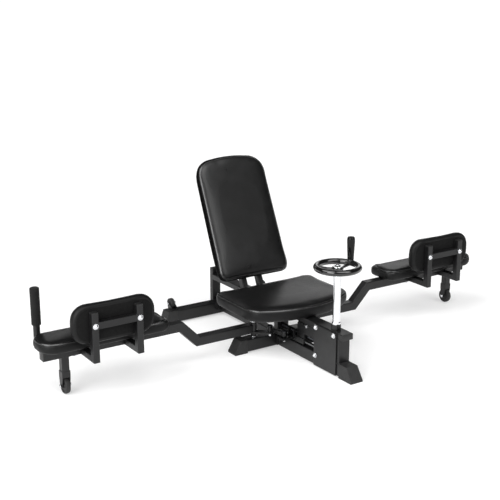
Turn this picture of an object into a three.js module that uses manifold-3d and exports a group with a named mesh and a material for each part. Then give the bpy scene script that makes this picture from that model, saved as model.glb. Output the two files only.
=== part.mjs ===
// Leg stretching machine: a floor-standing seat with a backrest and two padded
// leg arms that a hand wheel opens and closes through a lead screw.
// Units are millimetres, +Z is up, X runs across the machine and the sitter
// faces -Y. The arms stand fully open, in one line along X.
import * as THREE from 'three';
import * as BufferGeometryUtils from 'three/addons/utils/BufferGeometryUtils.js';
import Module from 'manifold-3d';

const wasm = await Module();
wasm.setup();

// ---------------------------------------------------------------- dimensions
const GAP = 0.3;                 // clearance between pieces that touch

// base
const BEAM = 38;                 // square tube of the base
const BEAM_WALL = 2;
const BEAM_Z0 = 3, BEAM_Z1 = BEAM_Z0 + BEAM;
const MID_Y = -7.5;              // centre line of the middle cross beam
const MID_HALF = 128.5;          // half length of its tube
const REAR_Y = 338;              // centre line of the rear cross beam
const REAR_HALF = 172.5;
const FRONT_Y = -326;            // front end of the main beam
const CAP_LEN = 44;              // length of a side foot cap
const CAP_FRONT_LEN = 57;
const STEP_Y = 11.5;             // rear end of the wide part of the main beam
const NARROW = 25, NARROW_Z = 24.5;  // rear part of the main beam
const MACHINE_Y = 2.85;          // puts the bounding box's centre at Y = 0

// seat rail and front column
const RAIL_W = 38, RAIL_Z0 = 112, RAIL_Z1 = 130;
const RAIL_FRONT = -335.5;
const UPRIGHT_W = 30, UPRIGHT_D = 20, UPRIGHT_TOP = 148;
const UPRIGHT_Y = REAR_Y + BEAM / 2 + GAP + UPRIGHT_D / 2;   // behind the rear cross beam
const PLATE_T = 3, PLATE_Y0 = -314, PLATE_Y1 = -212, PLATE_Z1 = 127.5;

// leg arms
const ARM = 28, ARM_WALL = 1.8;
const ARM_END = 762;             // 1524 mm (60 in) from tip to tip
const ARM_Z_LOW = 65.8, ARM_Z_HIGH = 121.5;
const BEND_IN = 289.4, BEND_OUT = 345.1;
const PIVOT_X = 94, PIVOT_Y = MID_Y;
const BARREL_R = 9, BARREL_Z0 = 44, BARREL_Z1 = 88;

// drive
const LEVER_R = 49.2, LEVER_ANG = -41.3 * Math.PI / 180;
const PIN_X = PIVOT_X - LEVER_R * Math.cos(LEVER_ANG);       // 57.0
const PIN_Y = PIVOT_Y + LEVER_R * Math.sin(LEVER_ANG);       // -40.0
const SCREW_Z = 66, SCREW_R = 6;     // lead 10 mm
const POST_Y = -285, POST_R = 10.75;
const CARRIAGE_X = 48, CARRIAGE_Y = -101;                    // front pins of the links
const GUIDE_X = 11, GUIDE_Z = 54, GUIDE_R = 4.6;             // two guide rods
const GEAR_R = 15, GEAR_TEETH = 14;

// hand wheel
const WHEEL_Z = 312, WHEEL_R = 59.3, WHEEL_TUBE = 8.6;
const HANDLE_ANG = 14.4 * Math.PI / 180;

// pads and their brackets
const BRKT = 19;
const BRKT_X = [522, 652], BRKT_Y = -96.5, BRKT_Z0 = 111.5, BRKT_TOP = 248;
const CROSS_Z = 213.5;
const SIDE_PAD = { x: 586.5, w: 243, z0: 159, z1: 268, y0: -86.4, t: 30.6, r: 46 };
const CALF_PAD = { x0: 400, x1: 778, half: 55, z0: 136, z1: 173.5, rIn: 22, rOut: 44 };
const CALF_BOLT_X = [517.5, 667.5];
const SEAT = { z0: 130.6, z1: 177 };
const BACK = { y: 110, z: 180, tilt: 24.4 * Math.PI / 180, w: 258, s0: 5, s1: 396.5, t: 35 };
const BACK_TUBE_X = 29.3;
const BACK_BOLT = [132.4, 121];

// casters
const CASTER_X = 701, WHEEL_RAD = 23.3, WHEEL_W = 15, STEM = 21.5;
const TRANSPORT = { x: 178, y: 352, z: 59, r: 16.5, w: 14 };

// grip of the left arm
const GRIP_X = -744, GRIP_Y = 75, GRIP_R = 9.5, FOAM_R = 13.2;
const GRIP_Z0 = 183, GRIP_TOP = 288.5;

// ----------------------------------------------------------------- materials
const finish = {
  paint: [0x17181a, 0.42, 0.35],
  vinyl: [0x141416, 0.48, 0.0],
  chrome: [0xd8dadc, 0.12, 1.0],
  steel: [0xb9bcc0, 0.3, 1.0],
  rubber: [0x161616, 0.8, 0.0],
  plastic: [0x121213, 0.5, 0.0],
  gloss: [0x070708, 0.1, 0.0],
  foam: [0x131313, 0.9, 0.0],
};

const machine = new THREE.Group();
machine.position.set(0, MACHINE_Y, 0);
const root = new THREE.Group();
root.add(machine);

// ------------------------------------------------------------------- helpers
function clean(geometry) {
  const g = new THREE.BufferGeometry();
  const src = geometry.index ? geometry.toNonIndexed() : geometry;
  g.setAttribute('position', src.attributes.position.clone());
  const merged = BufferGeometryUtils.mergeVertices(g, 1e-3);
  const p = merged.attributes.position, idx = merged.index.array, keep = [];
  let volume = 0;
  const a = new THREE.Vector3(), b = new THREE.Vector3(), c = new THREE.Vector3();
  for (let i = 0; i < idx.length; i += 3) {
    const [u, v, w] = [idx[i], idx[i + 1], idx[i + 2]];
    if (u === v || v === w || w === u) continue;
    keep.push(u, v, w);
    a.fromBufferAttribute(p, u); b.fromBufferAttribute(p, v); c.fromBufferAttribute(p, w);
    volume += a.dot(b.clone().cross(c));
  }
  if (volume < 0) for (let i = 0; i < keep.length; i += 3) [keep[i + 1], keep[i + 2]] = [keep[i + 2], keep[i + 1]];
  merged.setIndex(keep);
  return merged;
}

function toSolid(geometry) {
  const g = clean(geometry);
  return new wasm.Manifold(new wasm.Mesh({
    numProp: 3,
    vertProperties: new Float32Array(g.attributes.position.array),
    triVerts: new Uint32Array(g.index.array),
  }));
}

function toGeometry(solid) {
  const mesh = solid.getMesh();
  const g = new THREE.BufferGeometry();
  g.setAttribute('position', new THREE.BufferAttribute(new Float32Array(mesh.vertProperties), 3));
  g.setIndex(Array.from(mesh.triVerts));
  return g;
}

function add(name, shape, kind) {
  const geometry = shape.isBufferGeometry ? clean(shape) : toGeometry(shape);
  geometry.computeVertexNormals();
  const [color, roughness, metalness] = finish[kind];
  const mesh = new THREE.Mesh(geometry, new THREE.MeshStandardMaterial({ color, roughness, metalness }));
  mesh.name = name;
  machine.add(mesh);
  return mesh;
}

const box = (x0, x1, y0, y1, z0, z1) =>
  new THREE.BoxGeometry(x1 - x0, y1 - y0, z1 - z0).translate((x0 + x1) / 2, (y0 + y1) / 2, (z0 + z1) / 2);

// cylinder along an axis, between two stations
function rod(axis, u, v, from, to, r, seg = 20) {
  const g = new THREE.CylinderGeometry(r, r, to - from, seg);
  if (axis === 'x') g.rotateZ(Math.PI / 2).translate((from + to) / 2, u, v);
  if (axis === 'y') g.translate(u, (from + to) / 2, v);
  if (axis === 'z') g.rotateX(Math.PI / 2).translate(u, v, (from + to) / 2);
  return g;
}

// solid of revolution about a Z axis; profile is [radius, z] pairs
function turned(profile, x, y, seg = 24) {
  const g = new THREE.LatheGeometry(profile.map(([r, z]) => new THREE.Vector2(r, z)), seg);
  return g.rotateX(Math.PI / 2).translate(x, y, 0);
}

function roundedRect(w, h, r, cx = 0, cy = 0) {
  const s = new THREE.Shape(), x = cx - w / 2, y = cy - h / 2;
  s.moveTo(x + r, y);
  s.lineTo(x + w - r, y); s.absarc(x + w - r, y + r, r, -Math.PI / 2, 0, false);
  s.lineTo(x + w, y + h - r); s.absarc(x + w - r, y + h - r, r, 0, Math.PI / 2, false);
  s.lineTo(x + r, y + h); s.absarc(x + r, y + h - r, r, Math.PI / 2, Math.PI, false);
  s.lineTo(x, y + r); s.absarc(x + r, y + r, r, Math.PI, 1.5 * Math.PI, false);
  return s;
}

function extrude(shape, depth, bevel = 0, curve = 3) {
  return new THREE.ExtrudeGeometry(shape, {
    depth: depth - 2 * bevel, curveSegments: curve, steps: 1,
    bevelEnabled: bevel > 0, bevelThickness: bevel, bevelSize: bevel, bevelOffset: -bevel, bevelSegments: 2,
  }).translate(0, 0, bevel);
}

// straight rectangular tube along X, Y or Z; open ends
function tube(axis, u, v, from, to, w, h, wall, r = 2.5) {
  const shape = roundedRect(w, h, r);
  if (wall) shape.holes.push(roundedRect(w - 2 * wall, h - 2 * wall, 0.6));
  const g = extrude(shape, to - from, 0, 2);
  if (axis === 'x') g.rotateX(Math.PI / 2).rotateZ(Math.PI / 2).translate(from, u, v);
  if (axis === 'y') g.rotateX(-Math.PI / 2).rotateY(Math.PI).translate(u, from, v).rotateY(0);
  if (axis === 'z') g.translate(u, v, from);
  return g;
}

// solid bar with mitred corners: path points [p, q] lie in a plane, and place()
// maps (p, q, side) to XYZ
function mitred(path, w, h, r, place) {
  const prof = roundedRect(w, h, r).extractPoints(2).shape;
  const pos = [], n = prof.length;
  const dir = (a, b) => { const d = [b[0] - a[0], b[1] - a[1]], l = Math.hypot(...d); return [d[0] / l, d[1] / l]; };
  path.forEach((pt, i) => {
    const d0 = i ? dir(path[i - 1], pt) : dir(pt, path[1]);
    const d1 = i < path.length - 1 ? dir(pt, path[i + 1]) : d0;
    const nx = [-(d0[1] + d1[1]) / 2, (d0[0] + d1[0]) / 2], l = Math.hypot(...nx);
    const k = 1 / (l * l);
    prof.forEach((q) => pos.push(place(pt[0] + nx[0] * k * q.y, pt[1] + nx[1] * k * q.y, q.x)));
  });
  const idx = [];
  for (let i = 0; i < path.length - 1; i++)
    for (let j = 0; j < n; j++) {
      const a = i * n + j, b = i * n + (j + 1) % n, c = a + n, d = b + n;
      idx.push(a, b, d, a, d, c);
    }
  const tri = THREE.ShapeUtils.triangulateShape(prof, []);
  const last = (path.length - 1) * n;
  tri.forEach(([a, b, c]) => { idx.push(a, c, b); idx.push(last + a, last + b, last + c); });
  const g = new THREE.BufferGeometry();
  g.setAttribute('position', new THREE.Float32BufferAttribute(pos.flat(), 3));
  g.setIndex(idx);
  return g;
}

// through bolt with a domed nut on the low end and a flat head on the high end
function bolt(r, from, to, head = 6.8, domed = true) {
  const p = [[0, from - 6.5]];
  if (domed) p.push([3, from - 6.1], [5, from - 4.9], [head - 0.8, from - 3], [head, from - 1.6], [head + 1.4, from - 1.2]);
  else p.push([head - 1, from - 6.5], [head, from - 5.5], [head, from - 1.4], [head + 1.4, from - 1.2]);
  p.push([head + 1.4, from - GAP], [r, from - GAP], [r, to + GAP], [head + 1.4, to + GAP], [head + 1.4, to + 1.2], [head, to + 1.6], [head - 1.4, to + 4.4], [0, to + 5]);
  return p;
}

function turnedX(profile, y, z, seg = 16) {
  return new THREE.LatheGeometry(profile.map(([r, t]) => new THREE.Vector2(r, t)), seg).rotateZ(-Math.PI / 2).translate(0, y, z);
}
function turnedY(profile, x, z, seg = 16) {
  return new THREE.LatheGeometry(profile.map(([r, t]) => new THREE.Vector2(r, t)), seg).translate(x, 0, z);
}

// flared foot cap; the cap runs along +L from its tube and widens to the floor
function footCap(len, topInset, place) {
  const w0 = 21, w1 = 19.3, z1 = BEAM_Z1 + 0.6;
  const pts = [];
  const ring = (l0, l1, w, z) => [[l0, -w, z], [l1, -w, z], [l1, w, z], [l0, w, z]];
  pts.push(...ring(GAP, len, w0, 0), ...ring(GAP, len, w0, 5), ...ring(GAP, len - topInset, w1, z1));
  const idx = [0, 2, 1, 0, 3, 2, 8, 9, 10, 8, 10, 11];
  for (const k of [0, 4]) for (let j = 0; j < 4; j++) {
    const a = k + j, b = k + (j + 1) % 4;
    idx.push(a, b, b + 4, a, b + 4, a + 4);
  }
  const g = new THREE.BufferGeometry();
  g.setAttribute('position', new THREE.Float32BufferAttribute(pts.map((p) => place(...p)).flat(), 3));
  g.setIndex(idx);
  return g;
}

// ---------------------------------------------------------------------- base
// main beam: a wide front part, an end plate and a narrow rear part, with a
// flange in front of each cross beam
{
  const midZ = (BEAM_Z0 + BEAM_Z1) / 2, y1 = REAR_Y - BEAM / 2 - GAP, bore = NARROW / 2 - BEAM_WALL;
  const midFace = MID_Y - BEAM / 2 - GAP;
  const flange = toSolid(box(-26.5, 26.5, y1 - 9.7, y1, 18, BEAM_Z1 - 0.4))
    .subtract(toSolid(box(-bore, bore, y1 - 20, y1 + 5, NARROW_Z - bore, NARROW_Z + bore)));
  const collar = toSolid(box(-26, 26, midFace - 9.5, midFace, 9, 36))
    .subtract(toSolid(box(-BEAM / 2 + 1, BEAM / 2 - 1, midFace - 20, midFace + 5, 5, 39)));
  const beam = toSolid(tube('y', 0, midZ, FRONT_Y, STEP_Y, BEAM, BEAM, BEAM_WALL))
    .add(toSolid(box(-BEAM / 2 + 1, BEAM / 2 - 1, STEP_Y - 3, STEP_Y, BEAM_Z0 + 1, BEAM_Z1 - 1)))
    .add(toSolid(tube('y', 0, NARROW_Z, STEP_Y - 0.5, y1, NARROW, NARROW, BEAM_WALL)))
    .add(flange).add(collar)
    .subtract(toSolid(rod('x', -219, 34, -30, 30, 3.4, 12)));
  add('main_beam', beam, 'paint');
}
for (const [side, s] of [['left', -1], ['right', 1]]) {
  const x0 = BEAM / 2 + GAP, x1 = MID_HALF;
  add(`mid_cross_beam_${side}`, tube('x', MID_Y, (BEAM_Z0 + BEAM_Z1) / 2, s > 0 ? x0 : -x1, s > 0 ? x1 : -x0, BEAM, BEAM, BEAM_WALL), 'paint');
  add(`mid_foot_cap_${side}`, footCap(CAP_LEN, 20, (l, w, z) => [s * (MID_HALF + l), MID_Y + w, z]), 'rubber');
  add(`rear_foot_cap_${side}`, footCap(CAP_LEN, 12, (l, w, z) => [s * (REAR_HALF + l), REAR_Y + w, z]), 'rubber');
}
add('rear_cross_beam', tube('x', REAR_Y, (BEAM_Z0 + BEAM_Z1) / 2, -REAR_HALF, REAR_HALF, BEAM, BEAM, BEAM_WALL), 'paint');
add('front_foot_cap', footCap(CAP_FRONT_LEN, 23, (l, w, z) => [w, FRONT_Y - l, z]), 'rubber');

// rear upright with its rounded plug
add('rear_upright', tube('z', 0, UPRIGHT_Y, BEAM_Z0, UPRIGHT_TOP - 4, UPRIGHT_W, UPRIGHT_D, 2), 'paint');
add('upright_plug', extrude(roundedRect(UPRIGHT_W, UPRIGHT_D, 3), 4 - GAP, 1.6).translate(0, UPRIGHT_Y, UPRIGHT_TOP - 4 + GAP), 'plastic');

// seat rail: flat rectangular tube from the gearbox to the rear upright
{
  const y1 = UPRIGHT_Y - UPRIGHT_D / 2 - GAP;
  let rail = toSolid(tube('y', 0, (RAIL_Z0 + RAIL_Z1) / 2, RAIL_FRONT, y1, RAIL_W, RAIL_Z1 - RAIL_Z0, 2, 2));
  rail = rail.add(toSolid(box(-18, 18, RAIL_FRONT, RAIL_FRONT + 3, RAIL_Z0 + 0.8, RAIL_Z1 - 0.8)));
  rail = rail.subtract(toSolid(rod('z', 0, POST_Y, RAIL_Z0 - 5, RAIL_Z1 + 5, 7.4, 20)));
  for (const [y, z] of [[-220, 119.5], [-302, 119.5], BACK_BOLT]) rail = rail.subtract(toSolid(rod('x', y, z, -30, 30, 3.4, 12)));
  add('seat_rail', rail, 'paint');
}

// front column between the beam and the rail, and the two gearbox plates
add('front_column', tube('z', 0, -312.8, BEAM_Z1 + GAP, RAIL_Z0 - GAP, BEAM, 24.4, 2), 'paint');
for (const [side, s] of [['left', -1], ['right', 1]]) {
  const x = BEAM / 2 + GAP;
  const shape = new THREE.Shape([[PLATE_Y0, 3], [PLATE_Y1, 3], [PLATE_Y1, PLATE_Z1 - 3], [PLATE_Y1 - 3, PLATE_Z1], [PLATE_Y0, PLATE_Z1]].map((p) => new THREE.Vector2(...p)));
  let plate = toSolid(extrude(shape, PLATE_T).rotateX(Math.PI / 2).rotateZ(Math.PI / 2).translate(s > 0 ? x : -x - PLATE_T, 0, 0));
  for (const [y, z] of [[-220, 119.5], [-302, 119.5], [-219, 34]]) plate = plate.subtract(toSolid(rod('x', y, z, -40, 40, 3.4, 12)));
  add(`gearbox_plate_${side}`, plate, 'paint');
}
{
  const reach = BEAM / 2 + GAP + PLATE_T;
  for (const [name, y, z] of [['gearbox_bolt_upper_rear', -220, 119.5], ['gearbox_bolt_upper_front', -302, 119.5], ['gearbox_bolt_lower', -219, 34]])
    add(name, turnedX(bolt(3, -reach, reach, 6.2), y, z), 'chrome');
}

// lead screw bearings: the front one carries a channel under the rail with a
// cross bolt, the rear one carries the two guide rods
{
  const w = 18.7, top = RAIL_Z0 - GAP;
  let front = toSolid(box(-w, w, -229, -213, BEAM_Z1 + GAP, 101))
    .add(toSolid(box(-w, w, -215, -160, 80, top)).subtract(toSolid(box(-w + 3, w - 3, -213, -150, 70, top - 3))))
    .add(toSolid(rod('x', -171, 106, -21.7, 21.7, 5.5, 16)))
    .subtract(toSolid(rod('y', 0, SCREW_Z, -240, -200, SCREW_R + 0.3)));
  for (const s of [-1, 1]) front = front.subtract(toSolid(rod('y', s * GUIDE_X, GUIDE_Z, -222, -200, GUIDE_R + 0.4)));
  add('screw_front_bearing', front, 'paint');
  let rear = toSolid(extrude(roundedRect(40, 38.7, 4), 19).rotateX(Math.PI / 2).translate(0, -8, BEAM_Z1 + GAP + 19.35))
    .subtract(toSolid(rod('y', 0, SCREW_Z, -40, -11.5, SCREW_R + 0.3)));
  for (const s of [-1, 1]) rear = rear.add(toSolid(rod('y', s * GUIDE_X, GUIDE_Z, -221, -20, GUIDE_R, 16)));
  add('screw_rear_bearing', rear, 'paint');
}

// hexagonal bush that guides the hand wheel post
{
  const hex = new THREE.CylinderGeometry(14.6, 14.6, 14, 6).rotateX(Math.PI / 2).rotateZ(Math.PI / 6).translate(0, POST_Y, RAIL_Z1 + GAP + 7);
  add('post_bush', toSolid(hex).subtract(toSolid(rod('z', 0, POST_Y, 120, 150, 7.3, 24))), 'paint');
}

// ------------------------------------------------------------- seat and back
{
  const s = new THREE.Shape();
  s.moveTo(-150, 88); s.lineTo(150, 88);
  s.quadraticCurveTo(180, 87, 180, 58);
  s.lineTo(180, -82);
  s.quadraticCurveTo(179, -130, 140, -146);
  s.quadraticCurveTo(75, -177, 0, -178);
  s.quadraticCurveTo(-75, -177, -140, -146);
  s.quadraticCurveTo(-179, -130, -180, -82);
  s.lineTo(-180, 58);
  s.quadraticCurveTo(-180, 87, -150, 88);
  add('seat_pad', extrude(s, SEAT.z1 - SEAT.z0, 7, 6).translate(0, 0, SEAT.z0), 'vinyl');
}
{
  const s = new THREE.Shape(), w = BACK.w / 2, a = BACK.s0, b = BACK.s1;
  s.moveTo(-w + 28, a); s.lineTo(w - 28, a); s.quadraticCurveTo(w - 2, a, w - 1, a + 30);
  s.lineTo(w - 4, b - 62); s.quadraticCurveTo(w - 6, b - 12, w - 54, b - 4);
  s.quadraticCurveTo(0, b + 4, -w + 54, b - 4);
  s.quadraticCurveTo(-w + 6, b - 12, -w + 4, b - 62); s.lineTo(-w + 1, a + 30);
  s.quadraticCurveTo(-w + 2, a, -w + 28, a);
  const lean = (g) => g.rotateX(Math.PI / 2).rotateX(-BACK.tilt).translate(0, BACK.y, BACK.z);
  // local: X across, Y up the back, extruded backwards after the turn
  add('backrest_pad', lean(extrude(s, BACK.t, 6, 6).translate(0, 0, -BACK.t)), 'vinyl');
  // hairpin frame of square tube behind the pad, straddling the rail
  const off = -(BACK.t + GAP + BRKT / 2), bar = (x, s0, s1) => extrude(roundedRect(BRKT, BRKT, 2), s1 - s0, 0, 2).rotateX(-Math.PI / 2).translate(x, s0, off);
  let hairpin = toSolid(bar(-BACK_TUBE_X, -56, 262)).add(toSolid(bar(BACK_TUBE_X, -56, 262)));
  hairpin = hairpin.add(toSolid(extrude(roundedRect(BRKT, BRKT, 2), 2 * BACK_TUBE_X + BRKT, 0, 2).rotateY(Math.PI / 2).translate(-BACK_TUBE_X - BRKT / 2, 252.5, off)));
  const g = lean(toGeometry(hairpin));
  const cut = toSolid(g).subtract(toSolid(rod('x', ...BACK_BOLT, -60, 60, 3.4, 12)));
  add('backrest_frame', cut, 'paint');
  const reach = BACK_TUBE_X + BRKT / 2;
  add('backrest_bolt', turnedX(bolt(3, -reach, reach, 6.2), ...BACK_BOLT), 'chrome');
}

// ------------------------------------------------------------ transport rolls
for (const [side, s] of [['left', -1], ['right', 1]]) {
  const { x, y, z, r, w } = TRANSPORT, cx = s * x, c = w / 2 + 1;
  const cheek = (x0) => {
    const sh = new THREE.Shape();
    sh.moveTo(y - 26, 42); sh.lineTo(y + 2, 42); sh.lineTo(y + 6.8, z); sh.absarc(y, z, 6.8, 0, Math.PI, false); sh.lineTo(y - 26, 46);
    return extrude(sh, 2.5, 0, 5).rotateX(Math.PI / 2).rotateZ(Math.PI / 2).translate(x0, 0, 0);
  };
  const fork = toSolid(box(cx - c - 2.5, cx + c + 2.5, y - 26, y - 19, 41.9, 44.5))
    .add(toSolid(cheek(cx - c - 2.5))).add(toSolid(cheek(cx + c)))
    .add(toSolid(rod('x', y, z, cx - c - 5.5, cx + c + 5.5, 4, 14)));
  add(`transport_fork_${side}`, fork, 'paint');
  const hub = toSolid(new THREE.LatheGeometry([[4.3, -w / 2], [r - 2.5, -w / 2], [r, -w / 2 + 2.5], [r, w / 2 - 2.5], [r - 2.5, w / 2], [4.3, w / 2], [4.3, -w / 2]]
    .map((p) => new THREE.Vector2(...p)), 28).rotateZ(Math.PI / 2).translate(cx, y, z));
  add(`transport_wheel_${side}`, hub, 'rubber');
}

// ------------------------------------------------------------------ leg arms
for (const [side, s] of [['left', -1], ['right', 1]]) {
  const inner = PIVOT_X + 3;
  const line = (x0, x1) => [[x0, ARM_Z_LOW], [BEND_IN, ARM_Z_LOW], [BEND_OUT, ARM_Z_HIGH], [x1, ARM_Z_HIGH]];
  const place = (p, q, y) => [s * p, y, q];
  let arm = toSolid(mitred(line(inner, ARM_END), ARM, ARM, 2.5, place))
    .subtract(toSolid(mitred(line(inner - 5, ARM_END - 3), ARM - 2 * ARM_WALL, ARM - 2 * ARM_WALL, 0.8, place)));
  for (const x of CALF_BOLT_X) arm = arm.subtract(toSolid(rod('z', s * x, 0, 100, 150, 3.6, 12)));

  // pivot barrel and lever plate welded to the inner end of the tube
  const barrel = toSolid(rod('z', s * PIVOT_X, PIVOT_Y, BARREL_Z0, BARREL_Z1, BARREL_R, 28));
  const hull = new THREE.Shape();
  {
    const r0 = 12, r1 = 10.5, a = Math.atan2(PIN_Y - PIVOT_Y, PIVOT_X - PIN_X), d = LEVER_R, b = Math.acos((r0 - r1) / d);
    hull.absarc(0, 0, r0, b, 2 * Math.PI - b, false);
    hull.absarc(d, 0, r1, -b, b, false);
    const plate = extrude(hull, 5.5, 0, 10).rotateZ(s < 0 ? a : Math.PI - a).translate(s * PIVOT_X, PIVOT_Y, 52);
    const welded = arm.add(barrel).add(toSolid(plate))
      .subtract(toSolid(rod('z', s * PIVOT_X, PIVOT_Y, 30, 100, 5.3, 20)))
      .subtract(toSolid(rod('z', s * PIN_X, PIN_Y, 30, 100, 4.3, 16)));
    add(`leg_arm_${side}`, welded, 'paint');
  }
  add(`pivot_bolt_${side}`, turned([[0, BEAM_Z1 + GAP], [10.6, BEAM_Z1 + GAP], [10.6, 43.6], [5, 43.6], [5, BARREL_Z1 + GAP + 0.1], [11, BARREL_Z1 + GAP + 0.1], [11, 90], [8, 90.4], [8, 94.5], [5.5, 97.5], [0, 98.6]], s * PIVOT_X, PIVOT_Y), 'chrome');

  // link with welded bosses and its two pins
  {
    const dx = s * (CARRIAGE_X - PIN_X), dy = CARRIAGE_Y - PIN_Y;
    const pin = (x, y) => turned([[0, 43.4], [3, 43.8], [5.4, 45.6], [6.4, 48], [6.4, 51.4], [4, 51.4], [4, 58], [6.2, 58], [6.2, 75.2], [8.6, 75.4], [8.6, 77], [6.5, 79.2], [0, 79.6]], x, y, 20);
    const bar = box(0, Math.hypot(dx, dy), -4, 4, 60.5, 72.5).rotateZ(Math.atan2(dy, dx)).translate(s * PIN_X, PIN_Y, 0);
    const link = toSolid(pin(s * PIN_X, PIN_Y)).add(toSolid(pin(s * CARRIAGE_X, CARRIAGE_Y))).add(toSolid(bar));
    add(`link_${side}`, link, 'steel');
  }

  // frame that carries the side pad: two angled legs and a cross bar
  {
    const leg = (x) => mitred([[-ARM / 2 - GAP, BRKT_Z0 + BRKT / 2], [BRKT_Y, BRKT_Z0 + BRKT / 2], [BRKT_Y, BRKT_TOP]], BRKT, BRKT, 2, (p, q, t) => [s * x + t, p, q]);
    let frame = toSolid(leg(BRKT_X[0])).add(toSolid(leg(BRKT_X[1])))
      .add(toSolid(tube('x', BRKT_Y, CROSS_Z, s > 0 ? BRKT_X[0] : -BRKT_X[1], s > 0 ? BRKT_X[1] : -BRKT_X[0], BRKT - 1, BRKT, 0, 1.5)));
    for (const x of BRKT_X) frame = frame.subtract(toSolid(rod('y', s * x, CROSS_Z, -120, -80, 3.5, 12)));
    add(`side_pad_frame_${side}`, frame, 'paint');
  }
  BRKT_X.forEach((x, i) => {
    const y0 = BRKT_Y - BRKT / 2;
    const g = turnedY([[0, y0 - 6.5], [3, y0 - 6.1], [5, y0 - 4.9], [6.2, y0 - 3], [7, y0 - 1.6], [8, y0 - 1.4], [8, y0 - GAP], [3.1, y0 - GAP], [3.1, SIDE_PAD.y0 - GAP], [0, SIDE_PAD.y0 - GAP]], s * x, CROSS_Z, 18);
    add(`side_pad_bolt_${i ? 'outer' : 'inner'}_${side}`, g, 'chrome');
  });
  {
    const { x, w, z0, z1, y0, t, r } = SIDE_PAD;
    add(`side_pad_${side}`, extrude(roundedRect(w, z1 - z0, r), t, 5, 5).rotateX(Math.PI / 2).translate(s * x, y0 + t, (z0 + z1) / 2), 'vinyl');
  }
  {
    const { x0, x1, half, z0, z1, rIn, rOut } = CALF_PAD;
    const sh = new THREE.Shape(), q = Math.PI / 2;
    sh.moveTo(x0 + rIn, -half);
    sh.absarc(x1 - rOut, -half + rOut, rOut, -q, 0, false);
    sh.absarc(x1 - rOut, half - rOut, rOut, 0, q, false);
    sh.absarc(x0 + rIn, half - rIn, rIn, q, 2 * q, false);
    sh.absarc(x0 + rIn, -half + rIn, rIn, 2 * q, 3 * q, false);
    const pad = extrude(sh, z1 - z0, 6, 5).translate(0, 0, z0);
    add(`calf_pad_${side}`, s > 0 ? pad : toGeometry(toSolid(pad).mirror([1, 0, 0])), 'vinyl');
    CALF_BOLT_X.forEach((x, i) => {
      const zb = ARM_Z_HIGH - ARM / 2;
      add(`calf_pad_bolt_${i ? 'outer' : 'inner'}_${side}`,
        turned([[0, zb - 6], [4.5, zb - 5.2], [6.4, zb - 3.6], [6.9, zb - 1.8], [8, zb - 1.6], [8, zb - GAP], [3.2, zb - GAP], [3.2, z0 - GAP], [0, z0 - GAP]], s * x, 0, 18), 'chrome');
    });
  }

  // caster: square stem, fork and axle in one welded piece, and its wheel
  {
    const cx = s * CASTER_X, c = WHEEL_W / 2 + 2;
    const cheek = (x0) => {
      const sh = new THREE.Shape();
      sh.moveTo(-11.5, 66); sh.lineTo(-11.5, 52); sh.lineTo(-7.5, WHEEL_RAD); sh.absarc(0, WHEEL_RAD, 7.5, Math.PI, 2 * Math.PI, false); sh.lineTo(11.5, 52); sh.lineTo(11.5, 66);
      return extrude(sh, 2.5, 0, 5).rotateX(Math.PI / 2).rotateZ(Math.PI / 2).translate(x0, 0, 0);
    };
    const fork = toSolid(tube('z', cx, 0, 60, ARM_Z_HIGH - ARM / 2 - GAP, STEM, STEM, 0, 2))
      .add(toSolid(box(cx - c - 2.5, cx + c + 2.5, -11.5, 11.5, 48.2, 67)))
      .add(toSolid(cheek(cx - c - 2.5))).add(toSolid(cheek(cx + c)))
      .add(toSolid(rod('x', 0, WHEEL_RAD, cx - c - 6, cx + c + 6, 3.2, 14)));
    add(`caster_fork_${side}`, fork, 'paint');
    const w = WHEEL_W / 2, r = WHEEL_RAD;
    const wheel = new THREE.LatheGeometry([[3.5, -w], [8, -w], [9, -w + 1.5], [r - 5, -w + 1.5], [r - 4, -w], [r - 2, -w], [r, -w + 3], [r, w - 3], [r - 2, w], [r - 4, w], [r - 5, w - 1.5], [9, w - 1.5], [8, w], [3.5, w], [3.5, -w]]
      .map((p) => new THREE.Vector2(...p)), 32).rotateZ(Math.PI / 2).translate(cx, 0, WHEEL_RAD);
    add(`caster_wheel_${side}`, wheel, 'rubber');
  }
}

// grip post behind the left calf pad
{
  const path = [[ARM / 2 + GAP, ARM_Z_HIGH - 1.5], [GRIP_Y, ARM_Z_HIGH - 1.5], [GRIP_Y, GRIP_TOP - 4]];
  add('grip_post', mitred(path, 2 * GRIP_R, 2 * GRIP_R, GRIP_R - 0.05, (p, q, t) => [GRIP_X + t, p, q]), 'paint');
  const i = GRIP_R + 0.35;
  add('foam_grip', turned([[0, GRIP_TOP], [FOAM_R - 2.5, GRIP_TOP], [FOAM_R, GRIP_TOP - 2.5], [FOAM_R, GRIP_Z0 + 2], [FOAM_R - 1.2, GRIP_Z0], [i, GRIP_Z0], [i, GRIP_TOP - 3.5], [0, GRIP_TOP - 3.5]], GRIP_X, GRIP_Y, 24), 'foam');
}

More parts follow.
